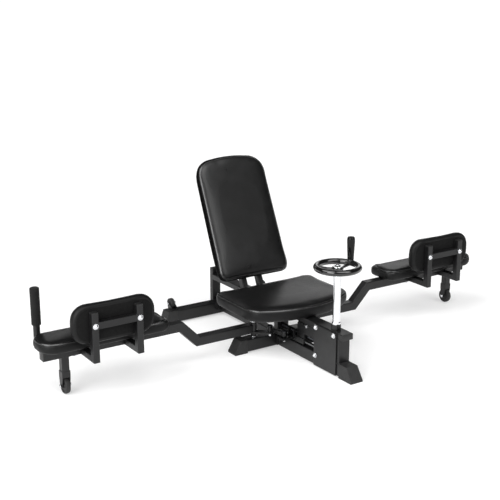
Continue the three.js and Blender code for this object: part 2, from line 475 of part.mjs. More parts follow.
// --------------------------------------------------------------------- drive
// mitre gear on a Z axis with its apex at the origin, teeth facing down
function mitreGear() {
  const n = GEAR_TEETH, outer = [], pos = [], idx = [];
  const lo = 7.6, hi = GEAR_R - 0.9;                    // heights above the apex
  for (let i = 0; i < n; i++) for (const [f, k] of [[-0.3, 0.86], [-0.16, 1], [0.16, 1], [0.3, 0.86]]) outer.push([(i + f) * 2 * Math.PI / n, k]);
  const ring = (z, scale) => outer.forEach(([a, k]) => pos.push(scale * k * (z - 0.9) * Math.cos(a), scale * k * (z - 0.9) * Math.sin(a), z));
  ring(lo, 1); ring(hi, 1);
  const m = outer.length;
  for (let j = 0; j < m; j++) { const a = j, b = (j + 1) % m; idx.push(a, b, b + m, a, b + m, a + m); }
  const c0 = pos.length / 3; pos.push(0, 0, lo); pos.push(0, 0, hi);
  for (let j = 0; j < m; j++) { const b = (j + 1) % m; idx.push(c0, b, j, c0 + 1, m + j, m + b); }
  const g = new THREE.BufferGeometry();
  g.setAttribute('position', new THREE.Float32BufferAttribute(pos, 3));
  g.setIndex(idx);
  return toSolid(g).add(toSolid(rod('z', 0, 0, hi - 0.5, hi + 10, 10.5, 24)));
}
{
  const gear = toGeometry(mitreGear()).rotateZ(Math.PI / GEAR_TEETH).rotateX(-Math.PI / 2).translate(0, POST_Y, SCREW_Z);
  const shaft = turnedY([[0, POST_Y + 8.5], [SCREW_R, POST_Y + 8.5], [SCREW_R, -12], [0, -12]], 0, SCREW_Z, 20);
  add('lead_screw', toSolid(shaft).add(toSolid(gear)), 'steel');
}

// carriage: nut block and saddle on the guide rods, with a ribbed ear and a
// clearance slot for each link pin
{
  const y = CARRIAGE_Y;
  let block = toSolid(box(-16, 16, y - 56, y - 22, 60, 106))
    .add(toSolid(box(-18.5, 18.5, y - 56, y + 15, 45.5, 62)))
    .add(toSolid(box(-62, 62, y - 15, y + 15, 52, 57.5)));
  for (const s of [-1, 1]) {
    for (const v of [y - 15, y + 10]) block = block.add(toSolid(box(Math.min(s * 16, s * 24), Math.max(s * 16, s * 24), v, v + 5, 57, 80)));
    const slot = extrude(roundedRect(23, 11, 5.4), 20).translate(s * 42, y - 0.6, 45);
    block = block.subtract(toSolid(slot))
      .subtract(toSolid(rod('y', s * GUIDE_X, GUIDE_Z, y - 70, y + 30, GUIDE_R + 0.4)));
  }
  block = block.subtract(toSolid(rod('y', 0, SCREW_Z, y - 70, y + 30, SCREW_R + 0.35, 20)));
  add('carriage', block, 'paint');
}

// post with its collar and top nut
{
  const shaft = turned([[0, 74.5], [6.7, 74.5], [6.7, 145], [12.2, 145], [12.2, 152], [POST_R, 152.4], [POST_R, 302.9], [8.5, 303.2], [8.5, 312.4], [14, 312.4], [14.4, 313.4], [13.2, 315.6], [8.4, 316.4], [7.6, 319], [4, 320.6], [0, 321]], 0, POST_Y, 28);
  add('handwheel_post', toSolid(shaft).add(toSolid(toGeometry(mitreGear()).translate(0, POST_Y, SCREW_Z))), 'chrome');
}

// hand wheel casting: rim, three spokes and boss
{
  const ringPts = [];
  for (let i = 0; i <= 12; i++) { const a = 2 * Math.PI * i / 12; ringPts.push([WHEEL_R + WHEEL_TUBE * Math.cos(a), WHEEL_Z + WHEEL_TUBE * Math.sin(a)]); }
  ringPts[12] = ringPts[0];
  let wheel = toSolid(turned(ringPts, 0, POST_Y, 48));
  wheel = wheel.add(toSolid(turned([[0, 303.6], [14.5, 303.6], [16.5, 305.4], [16.5, 310.4], [15, 312], [0, 312]], 0, POST_Y, 28)));
  for (let k = 0; k < 3; k++) {
    const a = HANDLE_ANG + k * 2 * Math.PI / 3;
    const spoke = new THREE.Shape([[12, -8], [36, -5.2], [56, -6.5], [56, 6.5], [36, 5.2], [12, 8]].map((p) => new THREE.Vector2(...p)));
    wheel = wheel.add(toSolid(extrude(spoke, 6, 1.2).translate(0, 0, WHEEL_Z - 7).rotateZ(a).translate(0, POST_Y, 0)));
  }
  // boss and spindle of the revolving handle
  const hx = WHEEL_R * Math.cos(HANDLE_ANG), hy = POST_Y + WHEEL_R * Math.sin(HANDLE_ANG);
  wheel = wheel.add(toSolid(turned([[0, 314], [9, 314], [9, 322], [3.5, 322], [3.5, 380], [0, 380]], hx, hy, 18)));
  wheel = wheel.subtract(toSolid(rod('z', 0, POST_Y, 300, 325, 8.8, 24)));
  add('handwheel', wheel, 'gloss');
  add('crank_handle', turned([[3.9, 322.4], [9.2, 322.4], [9.5, 330], [10.2, 345], [11, 362], [11.4, 378], [10.6, 385.4], [7.6, 388], [0, 388], [0, 381], [3.9, 381], [3.9, 322.4]], hx, hy, 22), 'gloss');
}

export default root;
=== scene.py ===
import math

import bmesh
import bpy
import numpy as np
from mathutils import Matrix, Vector
from mathutils.bvhtree import BVHTree


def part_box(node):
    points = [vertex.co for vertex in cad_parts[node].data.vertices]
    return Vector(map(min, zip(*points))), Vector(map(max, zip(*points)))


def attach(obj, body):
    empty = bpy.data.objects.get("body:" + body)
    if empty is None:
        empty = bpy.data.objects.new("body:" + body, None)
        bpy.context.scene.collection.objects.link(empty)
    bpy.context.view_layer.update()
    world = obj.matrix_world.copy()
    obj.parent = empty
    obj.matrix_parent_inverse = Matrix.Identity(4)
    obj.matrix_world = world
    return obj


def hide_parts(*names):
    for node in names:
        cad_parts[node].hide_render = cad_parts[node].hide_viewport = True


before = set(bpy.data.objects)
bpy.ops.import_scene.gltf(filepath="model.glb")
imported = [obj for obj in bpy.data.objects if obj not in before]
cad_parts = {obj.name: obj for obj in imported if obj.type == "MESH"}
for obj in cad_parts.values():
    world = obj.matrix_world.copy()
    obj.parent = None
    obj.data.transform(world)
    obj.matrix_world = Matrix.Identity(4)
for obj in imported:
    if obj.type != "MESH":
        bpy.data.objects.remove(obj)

scene = bpy.context.scene
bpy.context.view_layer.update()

MY = 0.00285            # the machine's own Y = 0 plane in the row frame
MM = 0.001


# ------------------------------------------------------------------ materials
class Mat:
    """A Principled material with short names for the nodes that feed it."""

    def __init__(self, name):
        self.mat = bpy.data.materials.new(name)
        self.mat.use_nodes = True
        tree = self.mat.node_tree
        tree.nodes.clear()
        self.nodes, self.links = tree.nodes, tree.links
        out = self.nodes.new("ShaderNodeOutputMaterial")
        self.bsdf = self.nodes.new("ShaderNodeBsdfPrincipled")
        self.links.new(self.bsdf.outputs["BSDF"], out.inputs["Surface"])
        self.coord = self.nodes.new("ShaderNodeTexCoord").outputs["Object"]

    def put(self, **values):
        for k, v in values.items():
            self.bsdf.inputs[k.replace("_", " ")].default_value = v
        return self

    def link(self, a, socket):
        self.links.new(a, self.bsdf.inputs[socket])
        return self

    def stretch(self, sx, sy, sz):
        m = self.nodes.new("ShaderNodeMapping")
        m.inputs["Scale"].default_value = (sx, sy, sz)
        self.links.new(self.coord, m.inputs["Vector"])
        return m.outputs[0]

    def noise(self, scale, detail=2.0, rough=0.5, vec=None, distort=0.0):
        n = self.nodes.new("ShaderNodeTexNoise")
        n.inputs["Scale"].default_value = scale
        n.inputs["Detail"].default_value = detail
        n.inputs["Roughness"].default_value = rough
        n.inputs["Distortion"].default_value = distort
        self.links.new(vec or self.coord, n.inputs["Vector"])
        return n.outputs[0]

    def cells(self, scale, feature="F1", vec=None, output="Distance", rand=1.0):
        n = self.nodes.new("ShaderNodeTexVoronoi")
        n.feature = feature
        n.inputs["Scale"].default_value = scale
        n.inputs["Randomness"].default_value = rand
        self.links.new(vec or self.coord, n.inputs["Vector"])
        return n.outputs[output]

    def remap(self, value, lo, hi, to_lo, to_hi):
        n = self.nodes.new("ShaderNodeMapRange")
        for s, v in zip(("From Min", "From Max", "To Min", "To Max"), (lo, hi, to_lo, to_hi)):
            n.inputs[s].default_value = v
        self.links.new(value, n.inputs["Value"])
        return n.outputs[0]

    def ramp(self, value, stops):
        n = self.nodes.new("ShaderNodeValToRGB")
        e = n.color_ramp.elements
        while len(e) < len(stops):
            e.new(0.5)
        for el, (p, c) in zip(e, stops):
            el.position = p
            el.color = (*c, 1.0) if hasattr(c, "__len__") else (c, c, c, 1.0)
        self.links.new(value, n.inputs[0])
        return n.outputs["Color"]

    def math(self, op, a, b=None):
        n = self.nodes.new("ShaderNodeMath")
        n.operation = op
        for i, v in enumerate((a, b)):
            if v is None:
                continue
            if isinstance(v, (int, float)):
                n.inputs[i].default_value = v
            else:
                self.links.new(v, n.inputs[i])
        return n.outputs[0]

    def mix(self, fac, a, b):
        n = self.nodes.new("ShaderNodeMix")
        n.data_type = "RGBA"
        self.links.new(fac, n.inputs[0])
        for i, v in ((6, a), (7, b)):
            if hasattr(v, "is_linked") or isinstance(v, bpy.types.NodeSocket):
                self.links.new(v, n.inputs[i])
            else:
                n.inputs[i].default_value = (*v, 1.0)
        return n.outputs[2]

    def bevel(self, radius, samples=4):
        n = self.nodes.new("ShaderNodeBevel")
        n.samples = samples
        n.inputs["Radius"].default_value = radius
        return n.outputs[0]

    def bump(self, height, strength, distance, normal=None):
        n = self.nodes.new("ShaderNodeBump")
        n.inputs["Strength"].default_value = strength
        n.inputs["Distance"].default_value = distance
        self.links.new(height, n.inputs["Height"])
        if normal is not None:
            self.links.new(normal, n.inputs["Normal"])
        return n.outputs[0]

    def edge(self, bevelled):
        """0 on flats, 1 on edges and corners."""
        g = self.nodes.new("ShaderNodeNewGeometry").outputs["True Normal"]
        d = self.nodes.new("ShaderNodeVectorMath")
        d.operation = "DOT_PRODUCT"
        self.links.new(g, d.inputs[0])
        self.links.new(bevelled, d.inputs[1])
        return self.remap(d.outputs["Value"], 0.995, 0.80, 0.0, 1.0)


def powder(name, dark=0.005, light=0.010, rough=(0.30, 0.42), peel=0.12, round_r=0.0014):
    """Satin black powder coat: orange peel, fine speckle, and edges lightened partly as worn thinner paint and partly
    as a painted edge highlight.
    """
    m = Mat(name)
    bev = m.bevel(round_r)
    edge = m.edge(bev)
    broad = m.noise(7.0, 3.0, 0.55)
    speck = m.noise(2600.0, 2.0, 0.6)
    tone = m.math("ADD", m.math("MULTIPLY", broad, 0.6), m.math("MULTIPLY", speck, 0.4))
    body = m.ramp(tone, [(0.3, (dark, dark, dark * 1.04)), (0.72, (light, light, light * 1.04))])
    # edges turn lighter grey: partly wear, partly a painted highlight along the edges
    edge_wear_and_highlight = m.math("MULTIPLY", edge, m.remap(m.noise(60.0, 4.0, 0.65), 0.42, 0.7, 0.15, 0.85))
    m.link(m.mix(edge_wear_and_highlight, body, (0.030, 0.030, 0.032)), "Base Color")
    r = m.remap(m.noise(38.0, 4.0, 0.6), 0.3, 0.7, *rough)
    m.link(m.math("SUBTRACT", r, m.math("MULTIPLY", edge_wear_and_highlight, 0.08)), "Roughness")
    fine = m.math("ADD", m.math("MULTIPLY", m.noise(620.0, 2.0, 0.5), 0.8), m.math("MULTIPLY", speck, 0.2))
    m.link(m.bump(fine, peel, 0.0004, bev), "Normal")
    m.put(Specular_IOR_Level=0.38, Metallic=0.0)
    return m.mat


def vinyl(name, scale=1.0, dark=0.002, light=0.0045, rough=(0.27, 0.36), spec=0.5, ior=1.5, coat=0.05):
    """Black upholstery vinyl: pebble grain with creases between, pores, soft broad unevenness."""
    m = Mat(name)
    warp = m.noise(90.0 * scale, 3.0, 0.6)
    grain = m.cells(820.0 * scale, "DISTANCE_TO_EDGE")
    fine = m.cells(2100.0 * scale, "F1")
    crease = m.remap(grain, 0.0, 0.09, 0.0, 1.0)
    tone = m.noise(11.0, 4.0, 0.6)
    base = m.ramp(tone, [(0.28, (dark, dark, dark * 1.03)), (0.75, (light, light, light * 1.05))])
    m.link(m.mix(m.remap(crease, 0.0, 1.0, 0.55, 0.0), base, (0.002, 0.002, 0.002)), "Base Color")
    r = m.remap(m.noise(22.0, 3.0, 0.5), 0.2, 0.8, *rough)
    m.link(m.math("ADD", r, m.math("MULTIPLY", m.math("SUBTRACT", 1.0, crease), 0.12)), "Roughness")
    h = m.math("ADD", m.math("MULTIPLY", crease, 0.62), m.math("MULTIPLY", fine, 0.2))
    h = m.math("ADD", h, m.math("MULTIPLY", warp, 0.5))
    soft = m.bump(m.noise(20.0, 2.0, 0.5), 0.055, 0.004)
    m.link(m.bump(h, 0.16, 0.0003, soft), "Normal")
    m.put(Specular_IOR_Level=spec, IOR=ior, Coat_Weight=coat, Coat_Roughness=0.3)
    return m.mat


def metal(name, base, rough, spangle=0.0, streak=(1.0, 1.0, 1.0), bev=None):
    """Plated steel: faint polishing streaks, smudges and, on zinc, a spangle."""
    m = Mat(name)
    lo = tuple(c * 0.88 for c in base)
    smudge = m.noise(34.0, 4.0, 0.6)
    col = m.ramp(smudge, [(0.25, lo), (0.7, base)])
    if spangle:
        cell = m.cells(520.0, "F1", output="Color")
        col = m.mix(m.remap(cell, 0.0, 1.0, 0.0, spangle), col, tuple(c * 0.62 for c in base))
    m.link(col, "Base Color")
    fine = m.noise(1900.0, 3.0, 0.6, m.stretch(*streak))
    m.link(m.math("ADD", m.remap(smudge, 0.3, 0.75, *rough), m.math("MULTIPLY", fine, 0.04)), "Roughness")
    m.link(m.bump(fine, 0.035, 0.0002, m.bevel(bev) if bev else None), "Normal")
    m.put(Metallic=1.0, Specular_IOR_Level=0.5)
    return m.mat


def rubber(name, base=0.014, rough=(0.62, 0.82), grain=1500.0, strength=0.3, bev=None):
    m = Mat(name)
    tone = m.noise(45.0, 5.0, 0.65)
    m.link(m.ramp(tone, [(0.25, (base * 0.7,) * 3), (0.75, (base * 1.5,) * 3)]), "Base Color")
    m.link(m.remap(m.noise(120.0, 4.0, 0.6), 0.3, 0.7, *rough), "Roughness")
    h = m.math("ADD", m.noise(grain, 3.0, 0.7), m.math("MULTIPLY", m.noise(70.0, 3.0, 0.5), 0.6))
    m.link(m.bump(h, strength, 0.0003, m.bevel(bev) if bev else None), "Normal")
    m.put(Specular_IOR_Level=0.42)
    return m.mat


def gloss(name, spec=0.55, ior=1.5, coat=0.5):
    """Glossy black moulded plastic, with a slight waviness and dust-fine haze."""
    m = Mat(name)
    wave = m.noise(55.0, 2.0, 0.5)
    m.link(m.ramp(m.noise(16.0, 3.0, 0.5), [(0.3, (0.0035,) * 3), (0.75, (0.0065,) * 3)]), "Base Color")
    m.link(m.remap(m.noise(150.0, 5.0, 0.7), 0.35, 0.75, 0.07, 0.17), "Roughness")
    m.link(m.bump(m.math("ADD", wave, m.math("MULTIPLY", m.noise(900.0, 2.0, 0.5), 0.08)), 0.05, 0.0012), "Normal")
    m.put(Specular_IOR_Level=spec, IOR=ior, Coat_Weight=coat, Coat_Roughness=0.05)
    return m.mat


def foam(name):
    """Closed-cell grip foam: tiny open pores and a dull, slightly soft surface."""
    m = Mat(name)
    pores = m.cells(1500.0, "F1")
    pits = m.remap(pores, 0.08, 0.42, 0.0, 1.0)
    m.link(m.mix(pits, (0.002, 0.002, 0.002), m.ramp(m.noise(60.0, 4.0, 0.6), [(0.3, (0.006,) * 3), (0.7, (0.011,) * 3)])), "Base Color")
    m.link(m.remap(m.noise(200.0, 3.0, 0.6), 0.3, 0.7, 0.72, 0.9), "Roughness")
    m.link(m.bump(m.math("ADD", pits, m.math("MULTIPLY", m.noise(320.0, 3.0, 0.6), 0.8)), 0.45, 0.0003), "Normal")
    m.put(Specular_IOR_Level=0.3, IOR=1.35, Sheen_Weight=0.05, Sheen_Roughness=0.6)
    return m.mat


def weave(name):
    """Black non-woven backing over the boards: fine crossed fibres."""
    m = Mat(name)
    a = m.noise(1100.0, 3.0, 0.7, m.stretch(1.0, 0.12, 0.12))
    b = m.noise(1100.0, 3.0, 0.7, m.stretch(0.12, 1.0, 1.0))
    h = m.math("MAXIMUM", a, b)
    m.link(m.ramp(h, [(0.4, (0.0025,) * 3), (0.68, (0.009,) * 3)]), "Base Color")
    m.link(m.remap(m.noise(80.0, 3.0, 0.6), 0.3, 0.7, 0.62, 0.8), "Roughness")
    m.link(m.bump(h, 0.35, 0.0003), "Normal")
    m.put(Specular_IOR_Level=0.25, IOR=1.3, Sheen_Weight=0.03, Sheen_Roughness=0.5)
    return m.mat


def pale_floor(name):
    """White light table: part of its brightness comes from below, so shadows on it stay pale."""
    m = Mat(name)
    m.link(m.ramp(m.noise(0.8, 3.0, 0.5), [(0.3, (0.645, 0.645, 0.645)), (0.7, (0.67, 0.67, 0.67))]), "Base Color")
    m.link(m.remap(m.noise(6.0, 3.0, 0.5), 0.3, 0.7, 0.55, 0.62), "Roughness")
    m.put(Specular_IOR_Level=0.0, Emission_Color=(1.0, 1.0, 1.0, 1.0), Emission_Strength=0.40)
    return m.mat


M = {
    "paint": powder("black_powder_coat"),
    "paint_fine": powder("black_powder_coat_fine", round_r=0.0007),
    "weld": powder("painted_weld", dark=0.010, light=0.016, peel=0.25, round_r=0.0003),
    "vinyl": vinyl("black_vinyl"),
    # painted shade: darker, less reflective copies of the same vinyl for the cushions' side walls
    "vinyl_side_painted_shade": vinyl("black_vinyl_side_painted_shade", dark=0.0015, light=0.0035, rough=(0.42, 0.54), spec=0.4, ior=1.38, coat=0.0),
    "vinyl_darker_painted_shade": vinyl("black_vinyl_darker_painted_shade", dark=0.0012, light=0.003, rough=(0.50, 0.62), spec=0.2, ior=1.12, coat=0.0),
    "piping": vinyl("black_vinyl_piping", scale=1.3, rough=(0.20, 0.28), spec=0.8, coat=0.3),
    "chrome": metal("polished_chrome", (0.86, 0.87, 0.885), (0.045, 0.13), streak=(1.0, 1.0, 0.06)),
    "bolt": metal("bright_bolt", (0.80, 0.81, 0.83), (0.12, 0.24), bev=0.0004),
    "zinc": metal("zinc_plated_steel", (0.56, 0.57, 0.59), (0.24, 0.42), spangle=0.55, bev=0.0007),
    "oxide": metal("black_oxide_steel", (0.070, 0.072, 0.078), (0.22, 0.38), spangle=0.3, bev=0.0005),
    "rod": metal("oiled_steel_rod", (0.24, 0.245, 0.25), (0.18, 0.30), streak=(1.0, 0.05, 1.0)),
    "foot": rubber("foot_cap_rubber", 0.013, (0.46, 0.64), 1300.0, 0.22, bev=0.0018),
    "tyre": rubber("roller_rubber", 0.013, (0.50, 0.72), 1800.0, 0.3),
    "plug": rubber("moulded_plastic", 0.012, (0.34, 0.5), 2300.0, 0.18),
    "gloss": gloss("gloss_black_plastic"),
    "handle": gloss("gloss_black_handle", 0.4, 1.3, 0.1),
    "foam": foam("grip_foam"),
    "backing": weave("board_backing"),
    "thread": rubber("black_thread", 0.022, (0.5, 0.65), 3000.0, 0.3),
    "floor": pale_floor("pale_floor"),
}

# the CAD nodes keep their shape and take a detailed finish
NODE_FINISH = {"foot_cap": "foot", "upright_plug": "plug", "lead_screw": "oxide", "link_": "zinc", "transport_fork": "paint_fine",
               "bolt": "bolt", "transport_wheel": "tyre", "caster_wheel": "tyre", "post_bush": "paint_fine"}
for node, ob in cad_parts.items():
    key = next((v for k, v in NODE_FINISH.items() if k in node), "paint")
    ob.data.materials.clear()
    ob.data.materials.append(M[key])


# ------------------------------------------------------------------- geometry
class Shape:
    """Vertices and faces of one piece, gathered from simple generators, in millimetres."""

    def __init__(self):
        self.v, self.f = [], []

    def take(self, verts, faces):
        n = len(self.v)
        self.v += [tuple(p) for p in verts]
        self.f += [tuple(i + n for i in f) for f in faces]
        return self

    def lathe(self, profile, seg=64, at=(0, 0, 0), axis="z", spin=0.0):
        """profile: (radius, height) pairs; a radius of 0 closes on the axis."""
        rings, verts, faces = [], [], []
        for r, h in profile:
            if r < 1e-6:
                rings.append([len(verts)])
                verts.append((0.0, 0.0, h))
            else:
                rings.append(list(range(len(verts), len(verts) + seg)))
                verts += [(r * math.cos(a), r * math.sin(a), h) for a in (spin + 2 * math.pi * k / seg for k in range(seg))]
        for a, b in zip(rings, rings[1:]):
            for k in range(seg):
                k2 = (k + 1) % seg
                if len(a) == 1 and len(b) == 1:
                    break
                if len(a) == 1:
                    faces.append((a[0], b[k2], b[k]))
                elif len(b) == 1:
                    faces.append((a[k], a[k2], b[0]))
                else:
                    faces.append((a[k], a[k2], b[k2], b[k]))
        turn = {"z": lambda p: p, "x": lambda p: (p[2], p[0], p[1]), "y": lambda p: (p[1], p[2], p[0])}[axis]
        return self.take([tuple(c + o for c, o in zip(turn(p), at)) for p in verts], faces)

    def sweep(self, path, section, closed=False, ups=None):
        """section: (a, b) pairs carried along path; ups gives the side direction at each point."""
        n = len(path)
        verts, faces = [], []
        pts = [Vector(p) for p in path]
        side = None
        for i, p in enumerate(pts):
            q0, q1 = (pts[i - 1], pts[(i + 1) % n]) if closed else (pts[max(i - 1, 0)], pts[min(i + 1, n - 1)])
            t = (q1 - q0).normalized()
            if ups is not None:
                side = Vector(ups[i] if isinstance(ups, list) else ups)
            elif side is None:
                side = t.cross(Vector((0, 0, 1)))
                if side.length < 0.1:
                    side = t.cross(Vector((1, 0, 0)))
            side = (side - t * side.dot(t)).normalized()
            up = t.cross(side)
            verts += [tuple(p + side * a + up * b) for a, b in (section(i) if callable(section) else section)]
            m = len(verts) // (i + 1)
        for i in range(n if closed else n - 1):
            for k in range(m):
                a, b = i * m + k, i * m + (k + 1) % m
                c, d = ((i + 1) % n) * m + (k + 1) % m, ((i + 1) % n) * m + k
                faces.append((a, b, c, d))
        if not closed:
            faces.append(tuple(range(m - 1, -1, -1)))
            faces.append(tuple((n - 1) * m + k for k in range(m)))
        return self.take(verts, faces)

    def slab(self, outline, z0, z1, place=lambda u, v, w: (u, v, w)):
        """A flat plate with the given outline between two heights."""
        n = len(outline)
        verts = [place(u, v, z0) for u, v in outline] + [place(u, v, z1) for u, v in outline]
        faces = [tuple(range(n - 1, -1, -1)), tuple(range(n, 2 * n))]
        faces += [(k, (k + 1) % n, n + (k + 1) % n, n + k) for k in range(n)]
        return self.take(verts, faces)

    def box(self, x0, x1, y0, y1, z0, z1):
        return self.slab([(x0, y0), (x1, y0), (x1, y1), (x0, y1)], z0, z1)

    def make(self, name, finish, body, replaces=(), bevel=0.0, sharp=35.0, subsurf=0, segments=2, shift=True):
        """Builds the Blender object. shift moves machine coordinates to the row frame."""
        me = bpy.data.meshes.new(name)
        dy = MY if shift else 0.0
        me.from_pydata([(x * MM, y * MM + dy, z * MM) for x, y, z in self.v], [], self.f)
        bm = bmesh.new()
        bm.from_mesh(me)
        bmesh.ops.remove_doubles(bm, verts=bm.verts, dist=1e-6)
        bmesh.ops.recalc_face_normals(bm, faces=bm.faces)
        bm.to_mesh(me)
        bm.free()
        ob = bpy.data.objects.new(name, me)
        scene.collection.objects.link(ob)
        me.materials.append(M[finish])
        if bevel:
            b = ob.modifiers.new("edge", "BEVEL")
            b.width, b.segments, b.limit_method, b.angle_limit = bevel * MM, segments, "ANGLE", math.radians(32)
            b.harden_normals = False
        if subsurf:
            ob.modifiers.new("smooth", "SUBSURF").levels = subsurf
            ob.modifiers["smooth"].render_levels = subsurf
        me.shade_smooth()
        if not bevel and not subsurf:
            me.set_sharp_from_angle(angle=math.radians(sharp))
        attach(ob, body)
        if replaces:
            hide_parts(*replaces)
        return ob


def fillet(profile, radius, steps=4):
    """Rounds the inner corners of an open (r, h) profile."""
    out = [profile[0]]
    for a, b, c in zip(profile, profile[1:], profile[2:]):
        a, b, c = np.array(a, float), np.array(b, float), np.array(c, float)
        u, v = a - b, c - b
        lu, lv = np.linalg.norm(u), np.linalg.norm(v)
        if lu < 1e-9 or lv < 1e-9:
            continue
        u, v = u / lu, v / lv
        bend = math.acos(max(-1.0, min(1.0, float(u @ v))))
        if bend > math.radians(165):
            out.append(tuple(b))
            continue
        cut = min(radius / math.tan(bend / 2), lu * 0.45, lv * 0.45)
        p, q = b + u * cut, b + v * cut
        for k in range(steps + 1):
            t = k / steps
            out.append(tuple(p * (1 - t) ** 2 + b * 2 * t * (1 - t) + q * t * t))
    out.append(profile[-1])
    return out


def quad_curve(p0, p1, p2, n=10):
    return [tuple((1 - t) ** 2 * a + 2 * t * (1 - t) * b + t * t * c for a, b, c in zip(p0, p1, p2)) for t in (k / n for k in range(1, n + 1))]


def rounded(w, h, r, cx=0.0, cy=0.0, n=8):
    """Outline of a rounded rectangle, counter-clockwise."""
    out = []
    for sx, sy, a0 in ((1, -1, -90), (1, 1, 0), (-1, 1, 90), (-1, -1, 180)):
        ox, oy = cx + sx * (w / 2 - r), cy + sy * (h / 2 - r)
        out += [(ox + r * math.cos(math.radians(a0 + 90 * k / n)), oy + r * math.sin(math.radians(a0 + 90 * k / n))) for k in range(n + 1)]
    return out


def even(outline, step):
    """Resamples a closed outline at an even spacing."""
    p = np.array(outline + outline[:1], float)
    seg = np.hypot(*np.diff(p, axis=0).T)
    run = np.concatenate([[0], np.cumsum(seg)])
    n = max(24, int(round(run[-1] / step)))
    s = np.linspace(0, run[-1], n, endpoint=False)
    return np.column_stack([np.interp(s, run, p[:, k]) for k in (0, 1)])


def offset(outline, d):
    """Moves each point of a smooth closed outline inward by d."""
    p = np.asarray(outline, float)
    t = np.roll(p, -1, 0) - np.roll(p, 1, 0)
    t /= np.maximum(np.hypot(*t.T), 1e-9)[:, None]
    normal = np.column_stack([t[:, 1], -t[:, 0]])
    area = 0.5 * np.sum(p[:, 0] * np.roll(p[:, 1], -1) - np.roll(p[:, 0], -1) * p[:, 1])
    return p - normal * d * (1 if area > 0 else -1)


def edge_distance(points, outline):
    """Distance of each point from a closed outline."""
    a, b = np.asarray(outline), np.roll(np.asarray(outline), -1, 0)
    ab = b - a
    out = np.empty(len(points))
    for i in range(0, len(points), 4000):
        q = points[i:i + 4000, None, :] - a[None]
        t = np.clip((q * ab).sum(-1) / np.maximum((ab * ab).sum(-1), 1e-12), 0, 1)
        out[i:i + 4000] = np.sqrt(((q - t[..., None] * ab) ** 2).sum(-1)).min(1)
    return out


# ------------------------------------------------------------------- cushions
def pad_blank(outline, thick, seam, roll, crown, under, flare):
    """Closed starting form of a cushion in local (u, v, w): flat board side at w = 0, sides that flare up to the seam, rolled edge and crown."""
    o = np.asarray(outline)
    low = offset(o, flare)
    c = o.mean(0)
    n = len(o)
    middle, half = (o.max(0) + o.min(0)) / 2, (o.max(0) - o.min(0)) / 2
    rings = []
    for s in np.linspace(0.0, 1.0, 14)[1:] ** 0.6:
        p = c + (low - c) * s
        d = edge_distance(p, low)
        k = np.clip(1 - d / under, 0, 1)
        rings.append(np.column_stack([p, under * (1 - np.sqrt(1 - k ** 2))]))
    for h in np.linspace(0, 1, 6)[1:]:
        p = offset(o, flare * (1 - h) - 1.6 * math.sin(math.pi * h) * min(1.0, thick / 40))
        rings.append(np.column_stack([p, np.full(n, under + (seam - under) * h)]))
    for s in (1 - np.linspace(0, 1, 22)[1:-1] ** 1.7):
        p = c + (o - c) * s
        d = edge_distance(p, o)
        k = np.clip(d / roll, 0, 1)
        x, y = np.abs((p - middle) / half).clip(0, 1).T
        dome = (1 - x ** 2.4) * (1 - y ** 2.4) * (1 - (1 - np.clip(d / 26, 0, 1)) ** 2)
        w = seam + (thick - crown - seam) * np.sqrt(1 - (1 - k) ** 2) + crown * dome
        rings.append(np.column_stack([p, w]))
    verts = [tuple(c) + (0.0,)] + [tuple(p) for r in rings for p in r] + [tuple(c) + (float(thick),)]
    faces = [(0, 1 + (k + 1) % n, 1 + k) for k in range(n)]
    for i in range(len(rings) - 1):
        a, b = 1 + i * n, 1 + (i + 1) * n
        faces += [(a + k, a + (k + 1) % n, b + (k + 1) % n, b + k) for k in range(n)]
    last = 1 + (len(rings) - 1) * n
    faces += [(last + k, last + (k + 1) % n, len(verts) - 1) for k in range(n)]
    return verts, faces


def pump(outline, thick, seam, roll, crown, under, voxel, cap, flare, pressure=4.0, frames=20):
    """Remeshes a cushion blank, lets its cover swell under pressure, and returns the settled vertices (mm) and faces."""
    verts, faces = pad_blank(outline, thick, seam, roll, crown, under, flare)
    me = bpy.data.meshes.new("blank")
    me.from_pydata([tuple(x * MM for x in p) for p in verts], [], faces)
    ob = bpy.data.objects.new("blank", me)
    scene.collection.objects.link(ob)
    bpy.context.view_layer.objects.active = ob
    r = ob.modifiers.new("remesh", "REMESH")
    r.mode, r.voxel_size = "VOXEL", voxel * MM
    dg = bpy.context.evaluated_depsgraph_get()
    done = bpy.data.meshes.new_from_object(ob.evaluated_get(dg))
    ob.modifiers.clear()
    ob.data = done
    n = len(done.vertices)
    rest = np.empty(n * 3)
    done.vertices.foreach_get("co", rest)
    rest = rest.reshape(-1, 3)
    group = ob.vertex_groups.new(name="board")
    group.add([int(i) for i in np.nonzero(rest[:, 2] < 0.0022)[0]], 1.0, "REPLACE")
    cloth = ob.modifiers.new("cloth", "CLOTH")
    s = cloth.settings
    s.quality, s.mass, s.air_damping = 6, 0.35, 2.0
    s.tension_stiffness = s.compression_stiffness = 18.0
    s.shear_stiffness, s.bending_stiffness = 8.0, 1.2
    s.use_pressure, s.uniform_pressure_force = True, pressure
    s.effector_weights.gravity = 0.0
    s.vertex_group_mass = "board"
    cloth.collision_settings.use_collision = False
    cloth.collision_settings.use_self_collision = False
    cloth.point_cache.frame_start, cloth.point_cache.frame_end = 1, frames
    for f in range(1, frames + 1):
        scene.frame_set(f)
    dg = bpy.context.evaluated_depsgraph_get()
    ev = ob.evaluated_get(dg).data
    new = np.empty(n * 3)
    ev.vertices.foreach_get("co", new)
    move = new.reshape(-1, 3) - rest
    size = np.linalg.norm(move, axis=1)
    move *= (np.minimum(size, cap * MM * (1 - np.exp(-size / (cap * MM)))) / np.maximum(size, 1e-9))[:, None]
    rest = rest + move
    ob.modifiers.clear()
    scene.frame_set(1)
    out_faces = [tuple(p.vertices) for p in done.polygons]
    bpy.data.objects.remove(ob)
    return rest / MM, out_faces


